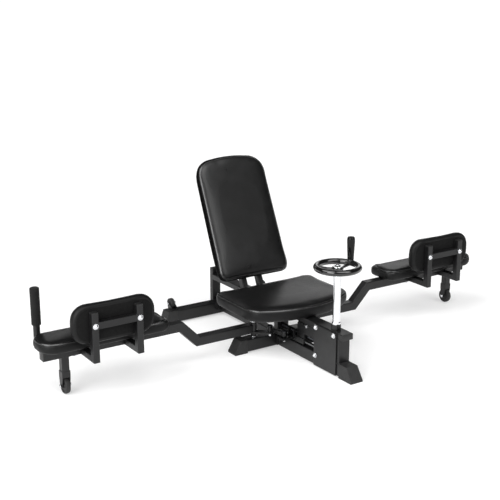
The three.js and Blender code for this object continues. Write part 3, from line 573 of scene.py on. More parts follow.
def relax(co, faces, steps, keep_low=1.0):
    """Laplacian smoothing of everything above the board."""
    edges = np.unique(np.sort(np.array([(f[i], f[(i + 1) % len(f)]) for f in faces for i in range(len(f))]), axis=1), axis=0)
    deg = np.bincount(edges.ravel(), minlength=len(co)).astype(float)[:, None]
    free = (co[:, 2] > keep_low)[:, None]
    for _ in range(steps):
        acc = np.zeros_like(co)
        np.add.at(acc, edges[:, 0], co[edges[:, 1]])
        np.add.at(acc, edges[:, 1], co[edges[:, 0]])
        co = np.where(free, co * 0.5 + acc / deg * 0.5, co)
    return co


def skin_ring(tree, outline, height, thick, out=0.0):
    """Points and normals where the cushion's side meets a level, walking round its outline."""
    o = np.asarray(outline)
    t = np.roll(o, -1, 0) - np.roll(o, 1, 0)
    t /= np.hypot(*t.T)[:, None]
    area = np.sum(o[:, 0] * np.roll(o[:, 1], -1) - np.roll(o[:, 0], -1) * o[:, 1])
    nor = np.column_stack([t[:, 1], -t[:, 0]]) * (1 if area > 0 else -1)
    pts, nors = [], []
    for p, q in zip(o, nor):
        start = Vector((p[0] + q[0] * 25, p[1] + q[1] * 25, height))
        loc, n, _, _ = tree.ray_cast(start, Vector((-q[0], -q[1], 0)), 60)
        if loc is None:
            loc, n = Vector((p[0], p[1], height)), Vector((q[0], q[1], 0))
        pts.append(loc + n * out)
        nors.append(n)
    return pts, nors


def piping_ring(tree, outline, seam, welt, lean):
    """Centre line of the piping and the direction it faces: it lies on the corner between the side and the top panel, half sunk into the cover."""
    o = np.asarray(outline)
    t = np.roll(o, -1, 0) - np.roll(o, 1, 0)
    t /= np.hypot(*t.T)[:, None]
    area = np.sum(o[:, 0] * np.roll(o[:, 1], -1) - np.roll(o[:, 0], -1) * o[:, 1])
    nor = np.column_stack([t[:, 1], -t[:, 0]]) * (1 if area > 0 else -1)
    hits = []
    for p, q in zip(o, nor):
        aim = Vector((p[0] - q[0] * lean[0], p[1] - q[1] * lean[0], seam + lean[1]))
        back = Vector((q[0], q[1], 1.0)).normalized()
        loc, n, _, _ = tree.ray_cast(aim + back * 30, -back, 60)
        hits.append(tuple((loc if loc is not None else aim) - back * welt * 0.22))
    h = np.array(hits)
    for _ in range(6):
        h = 0.5 * h + 0.25 * (np.roll(h, 1, 0) + np.roll(h, -1, 0))
    return h, np.column_stack([nor, np.ones(len(nor))]) / math.sqrt(2)


def cushion(name, body, node, place, outline, thick, seam, roll, crown, under, voxel, cap, inset=0.8, stitches=True, board=11.0,
            welt=2.5, flare=0.0, limit=None, wall="vinyl_side_painted_shade", lean=(2.4, 0.8), top=None, forms={}):
    """One upholstered pad: swollen cover, piping along the seam, stitches and a backing board."""
    key = (tuple(map(tuple, np.round(outline, 3))), thick)
    if key not in forms:
        start = even([tuple(p) for p in offset(even(outline, 4.0), inset)], 4.0)
        line = even([tuple(p) for p in offset(even(top, 4.0), inset)], 4.0) if top else start
        co, faces = pump(start, thick - max(inset, 0) * 0.8, seam - max(inset, 0) * 0.3, roll, crown, under, voxel, cap, flare)
        co = relax(co, faces, 5)
        # the panel is evened out away from its seam
        inner = np.clip((edge_distance(co[:, :2], start) - 5.0) / 6.0, 0, 1) * (co[:, 2] > seam + 1)
        co[:, 2] += (relax(co, faces, 16)[:, 2] - co[:, 2]) * inner
        # the seam draws the cover in along a narrow line below the piping and another on the panel
        d = edge_distance(co[:, :2], start)
        pull = np.where((d < 6) & (co[:, 2] < seam), 0.8 * np.exp(-((co[:, 2] - seam + 4.0) / 2.4) ** 2), 0)
        centre = start.mean(0)
        away = co[:, :2] - centre
        co[:, :2] -= away / np.linalg.norm(away, axis=1, keepdims=True) * pull[:, None]
        co[:, 2] -= np.where(co[:, 2] > seam - 2, 1.9 * np.exp(-((edge_distance(co[:, :2], line) - 7.0) / 3.0) ** 2), 0)
        forms[key] = (co, faces, start, line)
    co, faces, start, line = forms[key]
    if limit:
        co = np.column_stack([co[:, :2], np.minimum(co[:, 2], limit)])
    me = bpy.data.meshes.new(name)
    me.from_pydata([tuple(c * MM for c in place(*p)) for p in co], [], faces)
    bm = bmesh.new()
    bm.from_mesh(me)
    bmesh.ops.recalc_face_normals(bm, faces=bm.faces)
    bm.to_mesh(me)
    bm.free()
    ob = bpy.data.objects.new(name, me)
    scene.collection.objects.link(ob)
    me.materials.append(M["vinyl"])
    me.materials.append(M[wall])
    # faces below the seam take the darker wall copy of the vinyl, which is painted shade on the side walls
    low = co[:, 2][np.array([f[0] for f in faces])]
    for f in range(4):
        low = np.maximum(low, co[:, 2][np.array([q[f % len(q)] for q in faces])])
    me.polygons.foreach_set("material_index", (low < seam - 0.5).astype(np.int32))
    me.shade_smooth()
    sub = ob.modifiers.new("smooth", "SUBSURF")
    sub.levels = sub.render_levels = 1
    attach(ob, body)
    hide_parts(node)

    tree = BVHTree.FromPolygons([Vector(p) for p in co], faces)
    ring = even([tuple(p) for p in line], 3.0)
    pts, faces_to = piping_ring(tree, ring, seam, welt, lean)
    bulge = lambda v: math.copysign(abs(v) ** 0.8, v)
    flat = [(welt * 0.52 * bulge(math.cos(a)), welt * bulge(math.sin(a))) for a in (2 * math.pi * k / 18 for k in range(18))]
    ways = [tuple(Vector(place(*(p + q))) - Vector(place(*p))) for p, q in zip(pts, faces_to)]
    s = Shape().sweep([place(*p) for p in pts], flat, closed=True, ups=ways)
    s.make(name + "_piping", "piping", body, sharp=80, shift=False)
    if stitches:
        st = Shape()
        for row in (seam - 5.5,):
            fine = even([tuple(p) for p in start], 1.9)
            sp, sn = skin_ring(tree, fine, row, thick, 0.12)
            for i in range(0, len(sp) - 2, 3):
                a, b = sp[i], sp[(i + 2) % len(sp)]
                mid = (a + b) / 2 + sn[i] * 0.22
                st.sweep([place(*p) for p in (a - sn[i] * 0.2, a * 0.7 + mid * 0.3, mid, b * 0.7 + mid * 0.3, b - sn[i] * 0.2)],
                         [(0.32 * math.cos(k), 0.32 * math.sin(k)) for k in (0, 1.57, 3.14, 4.71)])
        st.make(name + "_stitching", "thread", body, sharp=80, shift=False)
    if board:
        plate = offset(even([tuple(p) for p in start], 4.0), board)
        Shape().slab([tuple(p) for p in plate], -0.22, 2.0, place).make(name + "_board", "backing", body, bevel=0.18, shift=False)
    return ob


def seat_outline():
    p = [(-150, 88), (150, 88)]
    for a, b, c in (((150, 88), (180, 87), (180, 58)), ((180, -82), (179, -130), (140, -146)), ((140, -146), (75, -177), (0, -178)),
                    ((0, -178), (-75, -177), (-140, -146)), ((-140, -146), (-179, -130), (-180, -82)), ((-180, 58), (-180, 87), (-150, 88))):
        p += [a] + quad_curve(a, b, c)
    return p


def calf_outline(w, h):
    """Rounded plan of a calf cushion: tight corners at the inner end (+u), wide ones at the outer end."""
    out = []
    for su, sv, a0, r in ((1, -1, -90, 22), (1, 1, 0, 22), (-1, 1, 90, 44), (-1, -1, 180, 44)):
        ou, ov = su * (w / 2 - r), sv * (h / 2 - r)
        out += [(ou + r * math.cos(math.radians(a0 + 90 * k / 12)), ov + r * math.sin(math.radians(a0 + 90 * k / 12))) for k in range(13)]
    return out


def back_outline():
    w, a, b = 129, 5, 396.5
    p = [(-w + 28, a), (w - 28, a)]
    for q in (((w - 28, a), (w - 2, a), (w - 1, a + 30)), ((w - 4, b - 62), (w - 7, b - 14), (w - 54, b - 4)), ((w - 54, b - 4), (0, b + 8), (-w + 54, b - 4)),
              ((-w + 54, b - 4), (-w + 7, b - 14), (-w + 4, b - 62)), ((-w + 1, a + 30), (-w + 2, a), (-w + 28, a))):
        p += [q[0]] + quad_curve(*q)
    return p


def clean(outline):
    out = [outline[0]]
    for p in outline[1:]:
        if math.dist(p, out[-1]) > 0.2:
            out.append(p)
    return out if math.dist(out[0], out[-1]) > 0.2 else out[:-1]


TILT = math.radians(24.4)


def on_seat(u, v, w):
    return (u, v + MY / MM, 130.6 + w)


def on_back(u, v, w):
    zl = w - 35.0
    return (u, 110 + MY / MM - zl * math.cos(TILT) + v * math.sin(TILT), 180 + zl * math.sin(TILT) + v * math.cos(TILT))


seat_box, back_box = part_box("seat_pad"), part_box("backrest_pad")
cushion("seat_cushion", "base", "seat_pad", on_seat, clean(seat_outline()), 46.5, 36.0, 6.0, 8.0, 6.0, 4.5, 3.0, limit=47.5, inset=1.4, welt=3.4)
# the backrest's side wall takes the darkest copy of the vinyl, which is painted shade
cushion("backrest_cushion", "base", "backrest_pad", on_back, clean(back_outline()), 36.0, 29.5, 6.0, 4.5, 5.0, 4.5, 3.0, limit=37.5, welt=3.9, inset=0.0,
        flare=1.2, wall="vinyl_darker_painted_shade", lean=(4.0, 1.6))

for side, s in (("left", -1), ("right", 1)):
    body = side + "_arm"
    b0, b1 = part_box("side_pad_" + side)
    w, h, t = ((b1 - b0)[k] / MM for k in (0, 2, 1))
    cx, cz, y0 = (b0.x + b1.x) / 2 / MM, (b0.z + b1.z) / 2 / MM, b0.y / MM
    cushion("side_cushion_" + side, body, "side_pad_" + side, lambda u, v, ww, s=s, cx=cx, cz=cz, y0=y0: (cx - s * u, y0 + ww, cz + v),
            rounded(w, h, 43, n=12), t, t * 0.76, 4.5, 4.0, 3.5, 4.0, 2.5, board=10.0, limit=t, welt=2.8)
    c0, c1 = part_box("calf_pad_" + side)
    w, h, t = ((c1 - c0)[k] / MM for k in (0, 1, 2))
    cx, cy, z0 = (c0.x + c1.x) / 2 / MM, (c0.y + c1.y) / 2 / MM, c0.z / MM
    cushion("calf_cushion_" + side, body, "calf_pad_" + side, lambda u, v, ww, s=s, cx=cx, cy=cy, z0=z0: (cx - s * u, cy + v, z0 + ww),
            calf_outline(w, h), t, 28.5, 5.0, 6.0, 3.5, 4.0, 2.5, board=12.0, limit=t + 0.8, welt=3.0,
            top=rounded(w, h, 44, n=12))


# ------------------------------------------------------------- turned pieces
def acorn(axis, at, r=6.2, flip=1):
    """Domed nut on a flange washer; the dome points along flip times the axis."""
    s = Shape()
    dome = [(0, 6.6), (2.2, 6.35), (3.9, 5.4), (4.9, 4.0), (r - 0.9, 3.3), (r - 0.35, 2.9)]
    body = fillet([(0, -0.2), (r + 1.4, -0.2), (r + 1.4, 0.95), (r - 0.2, 1.2)], 0.3, 3)
    if flip < 0:
        s.lathe([(a, -b) for a, b in body] + [], 40, at, axis)
        s.lathe([(a, -b) for a, b in [(0, 1.0)] + [(r + 0.35, 1.0), (r + 0.35, 2.6), (r - 0.3, 3.1)] + dome[::-1][1:]], 6, at, axis, spin=0.3)
        s.lathe([(a, -b) for a, b in [(4.9, 3.0), (4.9, 4.2), (3.9, 5.6), (2.2, 6.55), (0, 6.8)]], 40, at, axis)
    else:
        s.lathe(body, 40, at, axis)
        s.lathe([(0, 1.0), (r + 0.35, 1.0), (r + 0.35, 2.6), (r - 0.3, 3.1)] + dome[::-1][1:], 6, at, axis, spin=0.3)
        s.lathe([(4.9, 3.0), (4.9, 4.2), (3.9, 5.6), (2.2, 6.55), (0, 6.8)], 40, at, axis)
    return s


def centre_of(node):
    a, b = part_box(node)
    return [(x + y) / 2 / MM for x, y in zip(a, b)], [x / MM for x in a], [x / MM for x in b]


def hexhead(s, axis, at, r, h, flip=1, spin=0.2):
    """Hexagonal head with a chamfered crown."""
    p = [(0, 0.0), (r, 0.0), (r, h * 0.8), (r * 0.9, h), (0, h)]
    s.lathe([(a, b * flip) for a, b in p], 6, at, axis, spin)


# through bolts of the gearbox and of the backrest frame
for node in ("gearbox_bolt_upper_rear", "gearbox_bolt_upper_front", "gearbox_bolt_lower", "backrest_bolt"):
    c, lo, hi = centre_of(node)
    x0, x1 = lo[0] + 6.5, hi[0] - 5.0
    s = acorn("x", (x0 - 0.1, c[1], c[2]), flip=-1)
    s.lathe([(0, x0), (3.0, x0), (3.0, x1), (0, x1)], 24, (0, c[1], c[2]), "x")
    s.lathe(fillet([(0, 0), (7.6, 0), (7.6, 1.2), (0, 1.25)], 0.3, 3), 40, (x1 + 0.1, c[1], c[2]), "x")
    hexhead(s, "x", (x1 + 1.2, c[1], c[2]), 6.3, 3.9)
    s.make(node + "_detail", "bolt", "base", (node,), sharp=28, shift=False)

for side, sx in (("left", -1), ("right", 1)):
    body = side + "_arm"
    for place in ("inner", "outer"):
        node = f"side_pad_bolt_{place}_{side}"
        c, lo, hi = centre_of(node)
        y0 = lo[1] + 6.5
        s = acorn("y", (c[0], y0 - 0.1, c[2]), r=6.6, flip=-1)
        s.lathe([(0, y0), (3.1, y0), (3.1, hi[1]), (0, hi[1])], 24, (c[0], 0, c[2]), "y")
        s.make(node + "_detail", "bolt", body, (node,), sharp=28, shift=False)
        node = f"calf_pad_bolt_{place}_{side}"
        c, lo, hi = centre_of(node)
        z0 = lo[2] + 6.0
        s = Shape().lathe(fillet([(0, z0 - 0.3), (8.0, z0 - 0.3), (8.0, z0 - 1.5), (0, z0 - 1.6)], 0.3, 3), 40, (c[0], c[1], 0))
        s.lathe([(0, z0), (3.2, z0), (3.2, hi[2]), (0, hi[2])], 24, (c[0], c[1], 0))
        hexhead(s, "z", (c[0], c[1], z0 - 1.5), 6.8, 4.3, flip=-1)
        s.make(node + "_detail", "bolt", body, (node,), sharp=28, shift=False)

    # pivot bolt: flange on the cross beam, shank, washer, nut and rounded end
    node = "pivot_bolt_" + side
    c, lo, hi = centre_of(node)
    s = Shape()
    s.lathe(fillet([(0, 41.3), (10.6, 41.3), (10.6, 43.6), (5, 43.6), (5, 88.4), (11, 88.4), (11, 90.0), (4, 90.1)], 0.4, 3), 48, (c[0], c[1], 0))
    hexhead(s, "z", (c[0], c[1], 90.0), 8.6, 5.2)
    s.lathe(fillet([(4.6, 95.0), (4.6, 97.6), (3.6, 98.5), (0, 98.6)], 0.4, 3), 32, (c[0], c[1], 0))
    s.make(node + "_detail", "bolt", "base", (node,), sharp=28, shift=False)

    # caster wheel: hub, web and rounded tread
    node = "caster_wheel_" + side
    c, lo, hi = centre_of(node)
    r, w = 23.25, 7.5
    prof = [(3.5, -w), (6.6, -w), (7.4, -w + 1.0), (8.2, -w + 2.6), (15.8, -w + 3.0), (17.4, -w + 1.2), (19.2, -w + 0.5), (21.6, -w + 1.0), (22.7, -w + 2.6), (r, 0)]
    full = prof + [(a, -b) for a, b in prof[-2::-1]]
    Shape().lathe(fillet(full, 0.6, 3) + [full[0]], 72, (c[0], c[1], c[2]), "x").make(node + "_detail", "tyre", side + "_caster_wheel", (node,), sharp=40, shift=False)

    node = "transport_wheel_" + side
    c, lo, hi = centre_of(node)
    r, w = 16.45, 7.0
    prof = [(4.3, -w), (6.4, -w), (7.0, -w + 1.2), (11.6, -w + 1.5), (12.6, -w + 0.3), (15.2, -w + 0.4), (16.2, -w + 1.6), (r, 0)]
    full = prof + [(a, -b) for a, b in prof[-2::-1]]
    Shape().lathe(fillet(full, 0.5, 3) + [full[0]], 64, (c[0], c[1], c[2]), "x").make(node + "_detail", "tyre", side + "_transport_wheel", (node,), sharp=40, shift=False)

# ------------------------------------------------------------------ hand wheel
PY = -285.0
HA = math.radians(14.4)
s = Shape()
WR, WT = 59.3, 8.7
s.lathe([(WR + WT * math.cos(a), 312 + WT * math.sin(a)) for a in (2 * math.pi * k / 28 for k in range(29))], 132, (0, PY, 0))
s.lathe(fillet([(8.9, 303.7), (14.2, 303.7), (16.6, 305.6), (16.6, 310.2), (14.6, 312.0), (8.9, 312.0), (8.9, 303.7)], 1.2, 4), 64, (0, PY, 0))
for k in range(3):
    a = HA + k * 2 * math.pi / 3
    path, ups = [], []
    for i in range(13):
        t = i / 12
        r = 11 + 43 * t
        path.append((r * math.cos(a), PY + r * math.sin(a), 307.2 + 2.6 * t * t - 0.8 * math.sin(math.pi * t)))
    hw = lambda i: 8.2 - 3.0 * max(0.0, math.sin(math.pi * i / 12)) ** 0.8 - 1.0 * (i / 12)
    ht = lambda i: 3.4 - 0.5 * math.sin(math.pi * i / 12) + 1.0 * (i / 12)
    s.sweep(path, lambda i: [(hw(i) * math.copysign(abs(math.cos(b)) ** 0.7, math.cos(b)), ht(i) * math.copysign(abs(math.sin(b)) ** 0.8, math.sin(b)))
                             for b in (2 * math.pi * j / 20 for j in range(20))], ups=(-math.sin(a), math.cos(a), 0))
hx, hy = WR * math.cos(HA), PY + WR * math.sin(HA)
s.lathe(fillet([(0, 313.0), (9.4, 313.0), (9.2, 319.5), (8.4, 321.9), (3.5, 322.0), (3.5, 380), (0, 380)], 0.8, 3), 40, (hx, hy, 0))
s.make("hand_wheel_detail", "gloss", "hand_wheel", ("handwheel",), sharp=50)

s = Shape()
s.lathe(fillet([(3.9, 322.5), (8.8, 322.5), (9.6, 324.4), (9.2, 327.0), (9.5, 334), (10.2, 348), (10.9, 362), (11.4, 374), (11.2, 382), (9.4, 387.0), (5.5, 388.0), (0, 388.0)], 1.6, 5)
        + [(0, 381.2), (3.9, 381.2), (3.9, 322.5)], 48, (hx, hy, 0))
s.make("crank_handle_detail", "handle", "crank_handle", ("crank_handle",), sharp=50)

# chrome post: polished tube, collar, hub cap and domed nut, with the mitre gear at its foot
s = Shape()
s.lathe(fillet([(0, 81), (6.7, 81), (6.7, 145), (11.6, 145), (12.3, 145.8), (12.3, 151.0), (11.4, 152.2), (10.75, 152.4), (10.75, 302.9), (8.5, 303.2), (8.5, 312.3), (14.0, 312.3), (14.7, 313.2), (13.6, 315.4),
                (8.6, 315.9)], 0.5, 3), 72, (0, PY, 0))
hexhead(s, "z", (0, PY, 315.6), 8.4, 3.0, spin=0.4)
s.lathe([(5.6, 318.3), (5.4, 319.2), (4.3, 320.2), (2.4, 320.8), (0, 321.0)], 36, (0, PY, 0))
s.make("post_detail", "chrome", "hand_wheel", (), sharp=30)


def mitre(s, at, axis_y=False, seg_shift=0.0):
    """Bevel gear with fourteen teeth; the apex is at the given point."""
    n, lo, hi = 14, 7.6, 14.1
    outer = [((i + f + seg_shift) * 2 * math.pi / n, k) for i in range(n) for f, k in ((-0.32, 0.85), (-0.18, 0.985), (-0.10, 1.0), (0.10, 1.0), (0.18, 0.985), (0.32, 0.85))]
    verts = [((z - 0.9) * k * math.cos(a), (z - 0.9) * k * math.sin(a), z) for z in (lo, hi) for a, k in outer]
    m = len(outer)
    faces = [(j, (j + 1) % m, m + (j + 1) % m, m + j) for j in range(m)]
    verts += [(0, 0, lo), (0, 0, hi)]
    faces += [(2 * m, (j + 1) % m, j) for j in range(m)] + [(2 * m + 1, m + j, m + (j + 1) % m) for j in range(m)]
    if axis_y:
        verts = [(x, z, -y) for x, y, z in verts]
    s.take([(x + at[0], y + at[1], z + at[2]) for x, y, z in verts], faces)


s = Shape()
mitre(s, (0, PY, 66))
s.lathe(fillet([(0, 79.9), (10.4, 79.9), (10.4, 90.0), (0, 90.0)], 0.6, 3), 40, (0, PY, 0))
gear = s.make("post_gear_detail", "zinc", "hand_wheel", ("handwheel_post",), sharp=25)

# lead screw with a rolled thread between its bearings, and its gear
s = Shape()
turns, lead, seg = 21, 10.0, 24
y_from, y_to = -228.0, -12.3
n = int((y_to - y_from) / lead * seg)
verts, faces, rows = [], [], 5
starts = 2
for i in range(n + 1):
    y = y_from + (y_to - y_from) * i / n
    pitch = lead / starts
    for k in range(seg):
        a = 2 * math.pi * k / seg
        ph = ((y / lead * 2 * math.pi + a) * starts) % (2 * math.pi)
        tri = abs(ph / math.pi - 1)
        r = 5.0 + 0.95 * min(1.0, max(0.0, tri * 1.9 - 0.45))
        verts.append((r * math.cos(a), y, 66 + r * math.sin(a)))
for i in range(n):
    for k in range(seg):
        a, b = i * seg + k, i * seg + (k + 1) % seg
        faces.append((a, b, b + seg, a + seg))
faces.append(tuple(range(seg)))
faces.append(tuple(range(n * seg, (n + 1) * seg)))
s.take(verts, faces)
s.lathe(fillet([(0, -262), (5.9, -262), (5.9, -228), (0, -228)], 0.4, 3), 40, (0, 0, 66), "y")
mitre(s, (0, PY, 66), True, 0.5)
s.lathe(fillet([(0, PY + 13.6), (10.4, PY + 13.6), (10.4, PY + 23.8), (0, PY + 23.8)], 0.6, 3), 40, (0, 0, 66), "y")
s.make("lead_screw_detail", "oxide", "lead_screw", ("lead_screw",), sharp=40)

# ground sleeves over the two guide rods
s = Shape()
for gx in (-11, 11):
    s.lathe(fillet([(4.5, -220.6), (4.75, -220.2), (4.75, -27.2), (4.5, -27.1)], 0.1, 2), 32, (gx, 0, 54), "y")
s.make("guide_rod_skin", "rod", "base", sharp=40)

# link pins: flanged sleeves and domed nuts, joined by the link bar
for side, sx in (("left", -1), ("right", 1)):
    ends = ((sx * 57.04, -39.97), (sx * 48.0, -101.0))
    s = Shape()
    for x, y in ends:
        s.lathe(fillet([(3.9, 51.2), (6.5, 51.3), (6.5, 50.0)], 0.2, 2) + [(5.9, 49.8)], 40, (x, y, 0))
        s.lathe([(0, 51.3), (6.2, 51.3), (6.2, 47.6), (4.9, 46.6)], 6, (x, y, 0), spin=0.3)
        s.lathe([(4.9, 47.6), (4.9, 46.4), (3.9, 44.9), (2.2, 43.8), (0, 43.5)], 36, (x, y, 0))
    s.make(f"link_{side}_nuts", "bolt", side + "_link", (), sharp=28)
    b = Shape()
    for x, y in ends:
        b.lathe(fillet([(0, 51.2), (4, 51.2), (4, 58.1), (6.1, 58.1), (6.1, 75.2), (8.5, 75.3), (8.5, 76.9), (6.4, 79.0), (0, 79.5)], 0.4, 3), 44, (x, y, 0))
    b.make(f"link_{side}_pins", "oxide", side + "_link", (), sharp=28)
    b = Shape()
    for x, y in ends:
        b.lathe(fillet([(4.1, 60.0), (7.6, 60.0), (7.6, 73.4), (4.1, 73.4)], 0.5, 3), 40, (x, y, 0))
    (xa, ya), (xb, yb) = ends
    run = math.hypot(xb - xa, yb - ya)
    ux, uy = (xb - xa) / run, (yb - ya) / run
    b.slab([(5, -4.2), (run - 5, -4.2), (run - 5, 4.2), (5, 4.2)], 60.6, 72.6, lambda u, v, w: (xa + ux * u - uy * v, ya + uy * u + ux * v, w))
    b.make(f"link_{side}_bar", "paint_fine", side + "_link", ("link_" + side,), bevel=0.7)

# foam grip with rounded ends and a slight swell, over the bent post
s = Shape()
gx, gy = -744.0, 75.0
prof = [(0, 288.5), (9.8, 288.5), (12.4, 287.2), (13.15, 284.4)]
prof += [(13.1 + 0.12 * math.sin(k * 1.7), 284 - 101 * k / 12) for k in range(1, 12)]
prof += [(13.1, 184.6), (12.5, 183.2), (9.9, 183.0), (9.9, 284.9), (0, 284.9)]
s.lathe(fillet(prof, 0.8, 3), 56, (gx, gy, 0))
s.make("foam_grip_detail", "foam", "left_arm", ("foam_grip",), sharp=50)


# ---------------------------------------------------------------- weld beads
def bead(points, radius, closed=True, step=1.1, seed=1):
    """Rippled weld bead along a polyline."""
    p = np.array(points + points[:1] if closed else points, float)
    run = np.concatenate([[0], np.cumsum(np.linalg.norm(np.diff(p, axis=0), axis=1))])
    n = max(8, int(run[-1] / step))
    at = np.linspace(0, run[-1], n, endpoint=not closed)
    q = np.column_stack([np.interp(at, run, p[:, k]) for k in range(3)])
    rng = np.random.default_rng(seed)
    wob = 1 + 0.10 * np.sin(np.arange(n) * 2 * math.pi / 3.2) + rng.normal(0, 0.03, n)
    s = Shape()
    s.sweep([tuple(v) for v in q], lambda i: [(radius * wob[i] * math.cos(a), radius * wob[i] * math.sin(a)) for a in (2 * math.pi * k / 8 for k in range(8))], closed=closed)
    return s


def ring_of(outline, place):
    return [place(u, v) for u, v in outline]


welds = []
for side, sx in (("left", -1), ("right", 1)):
    arm = side + "_arm"
    a = Shape()
    # caster stem under the arm tube
    for k, sh in enumerate((
        bead(ring_of(rounded(22.1, 22.1, 2, sx * 701, 0), lambda u, v: (u, v, 107.2)), 1.3, seed=3),
        bead(ring_of(rounded(19.6, 19.6, 2, sx * 522, 121), lambda u, v: (u, -14.4, v)), 1.2, seed=4),
        bead(ring_of(rounded(19.6, 19.6, 2, sx * 652, 121), lambda u, v: (u, -14.4, v)), 1.2, seed=5),
        bead([(sx * 531.6, -105.4, 204.6), (sx * 531.6, -105.4, 222.4)], 1.1, closed=False, seed=6),
        bead([(sx * 642.4, -105.4, 204.6), (sx * 642.4, -105.4, 222.4)], 1.1, closed=False, seed=7),
        bead([(sx * (94 + 9.2 * math.cos(t)), -7.5 + 9.2 * math.sin(t), 57.7) for t in (math.radians(d) for d in range(70, 300, 10))] if sx < 0 else
             [(sx * (94 - 9.2 * math.cos(t)), -7.5 + 9.2 * math.sin(t), 57.7) for t in (math.radians(d) for d in range(-120, 110, 10))], 1.0, closed=False, seed=8),
    )):
        a.take(sh.v, sh.f)
    a.make("welds_" + arm, "weld", arm, sharp=70)
b = Shape()
for sh in (
    bead([(15.3, 357.4, 4.5), (15.3, 357.4, 41.2), (-15.3, 357.4, 41.2), (-15.3, 357.4, 4.5)], 1.3, closed=False, seed=11),
    bead(ring_of(rounded(25.6, 25.6, 2.5, 0, 24.5), lambda u, v: (u, 11.8, v)), 1.2, seed=18),
    bead([(19.3, -36.4, 9.5), (19.3, -36.4, 35.5)], 1.1, closed=False, seed=19),
    bead([(-19.3, -36.4, 9.5), (-19.3, -36.4, 35.5)], 1.1, closed=False, seed=20),
    bead(ring_of(rounded(38.4, 24.8, 2.5, 0, -312.8), lambda u, v: (u, v, 41.3)), 1.4, seed=12),
    bead(ring_of(rounded(38.4, 24.8, 2.5, 0, -312.8), lambda u, v: (u, v, 111.8)), 1.2, seed=13),
    bead(ring_of(rounded(38.6, 38.6, 2.5, -7.5, 22), lambda u, v: (19.3, u, v)), 1.4, seed=14),
    bead(ring_of(rounded(38.6, 38.6, 2.5, -7.5, 22), lambda u, v: (-19.3, u, v)), 1.4, seed=15),
    bead(ring_of(rounded(53.2, 23.0, 1.0, 0, 29.3), lambda u, v: (u, 318.8, v)), 1.1, seed=16),
    bead(ring_of(rounded(30.4, 18.4, 2, 0, 121), lambda u, v: (u, 357.1, v)), 1.0, seed=17),
):
    b.take(sh.v, sh.f)
b.make("welds_base", "weld", "base", sharp=70)

# ------------------------------------------------------------- plugs and bolts
for side, sx in (("left", -1), ("right", 1)):
    arm = side + "_arm"
    for nm, x in (("inner", 522), ("outer", 652)):
        Shape().slab(rounded(19.2, 19.2, 2.2, sx * x, -96.5), 247.6, 250.4).make(f"side_frame_plug_{nm}_{side}", "plug", arm, bevel=0.9)
    Shape().slab(rounded(28.4, 28.4, 2.6, 0, 121.5), 0, 2.6, lambda u, v, w, sx=sx: (sx * (761.6 + w), u, v)).make("arm_end_plug_" + side, "plug", arm, bevel=0.9)
    # bright ends of the caster axle and of the transport roll's axle
    s = Shape()
    for x, f in ((sx * 701 - 15.5, -1), (sx * 701 + 15.5, 1)):
        s.lathe([(a, b * f) for a, b in fillet([(0, -1.6), (4.9, -1.6), (4.9, 0.3), (3.2, 1.5), (0, 1.9)], 0.5, 3)], 32, (x, 0, 23.3), "x")
    s.make("caster_axle_ends_" + side, "bolt", arm, sharp=35)
    s = Shape()
    for x, f in ((sx * 178 - 13.5, -1), (sx * 178 + 13.5, 1)):
        s.lathe([(a, b * f) for a, b in fillet([(0, -1.6), (5.2, -1.6), (5.2, 0.2), (3.6, 1.3), (0, 1.7)], 0.5, 3)], 32, (x, 352, 59), "x")
    s.make("transport_axle_ends_" + side, "bolt", "base", sharp=35)

Shape().slab(rounded(38.4, 18.4, 2.0, 0, 121), 0, 2.4, lambda u, v, w: (u, -335.2 - w, v)).make("rail_end_plug", "plug", "base", bevel=0.8)
# cross bolt through the bearing channel under the rail
s = Shape()
for f in (-1, 1):
    s.lathe([(a, b * f) for a, b in fillet([(0, 18.2), (5.6, 18.2), (5.6, 19.4), (5.1, 19.6), (5.1, 21.2), (3.7, 22.0), (0, 22.3)], 0.4, 3)], 40, (0, -171, 106), "x")
s.make("channel_bolt", "bolt", "base", sharp=28)

# ------------------------------------------------------------ stage and camera
bpy.ops.mesh.primitive_plane_add(size=260, location=(0, 0, -0.0005))
floor = bpy.context.object
floor.name = "floor"
floor.data.materials.append(M["floor"])

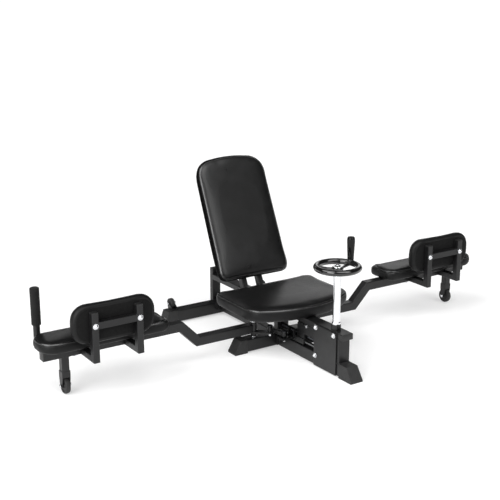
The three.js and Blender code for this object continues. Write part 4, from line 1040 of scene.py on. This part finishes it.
cam_data = bpy.data.cameras.new("camera")
cam = bpy.data.objects.new("camera", cam_data)
scene.collection.objects.link(cam)
cam_data.sensor_width = 36.0
cam_data.lens = 72.35
cam.location = (-1.6687, -2.3759 + MY, 1.1159)
look = Vector((0.5295, 0.8033, -0.2725))
cam.rotation_mode = "QUATERNION"
cam.rotation_quaternion = look.to_track_quat("-Z", "Y")
cam_data.clip_start, cam_data.clip_end = 0.05, 100.0
scene.camera = cam


def area(name, loc, target, size, power, size_y=None):
    data = bpy.data.lights.new(name, "AREA")
    data.shape = "RECTANGLE"
    data.size, data.size_y = size, size_y or size
    data.energy = power
    ob = bpy.data.objects.new(name, data)
    scene.collection.objects.link(ob)
    ob.location = loc
    ob.rotation_mode = "QUATERNION"
    ob.rotation_quaternion = (Vector(target) - Vector(loc)).to_track_quat("-Z", "Y")
    return ob


def sun(name, towards, strength, spread):
    """A wide overhead softbox, far enough away to light the whole floor evenly."""
    data = bpy.data.lights.new(name, "SUN")
    data.energy, data.angle = strength, math.radians(spread)
    ob = bpy.data.objects.new(name, data)
    scene.collection.objects.link(ob)
    ob.rotation_mode = "QUATERNION"
    ob.rotation_quaternion = Vector(towards).to_track_quat("Z", "Y")
    return ob


sun("overhead_left", (-0.8, 0.1, 1.0), 1.9, 50)
sun("overhead_front", (0.0, -0.7, 1.0), 1.85, 50)
area("left_front", (-2.95, -1.3, 1.3), (0, 0.1, 0.35), 1.8, 62, 1.9)
area("front", (0.9, -3.4, 1.9), (0, 0, 0.25), 1.5, 14.5, 1.0)
area("rear", (2.95, 2.75, 1.75), (0, 0, 0.25), 2.0, 9.8, 1.3)
area("rear_left", (0.3, 3.5, 1.75), (-0.4, 0, 0.2), 1.1, 3.2, 1.1)

world = bpy.data.worlds.new("studio")
world.use_nodes = True
world.node_tree.nodes["Background"].inputs["Color"].default_value = (1.0, 1.0, 1.0, 1.0)
world.node_tree.nodes["Background"].inputs["Strength"].default_value = 0.05
scene.world = world
scene.view_settings.view_transform = "Standard"
scene.view_settings.look = "None"
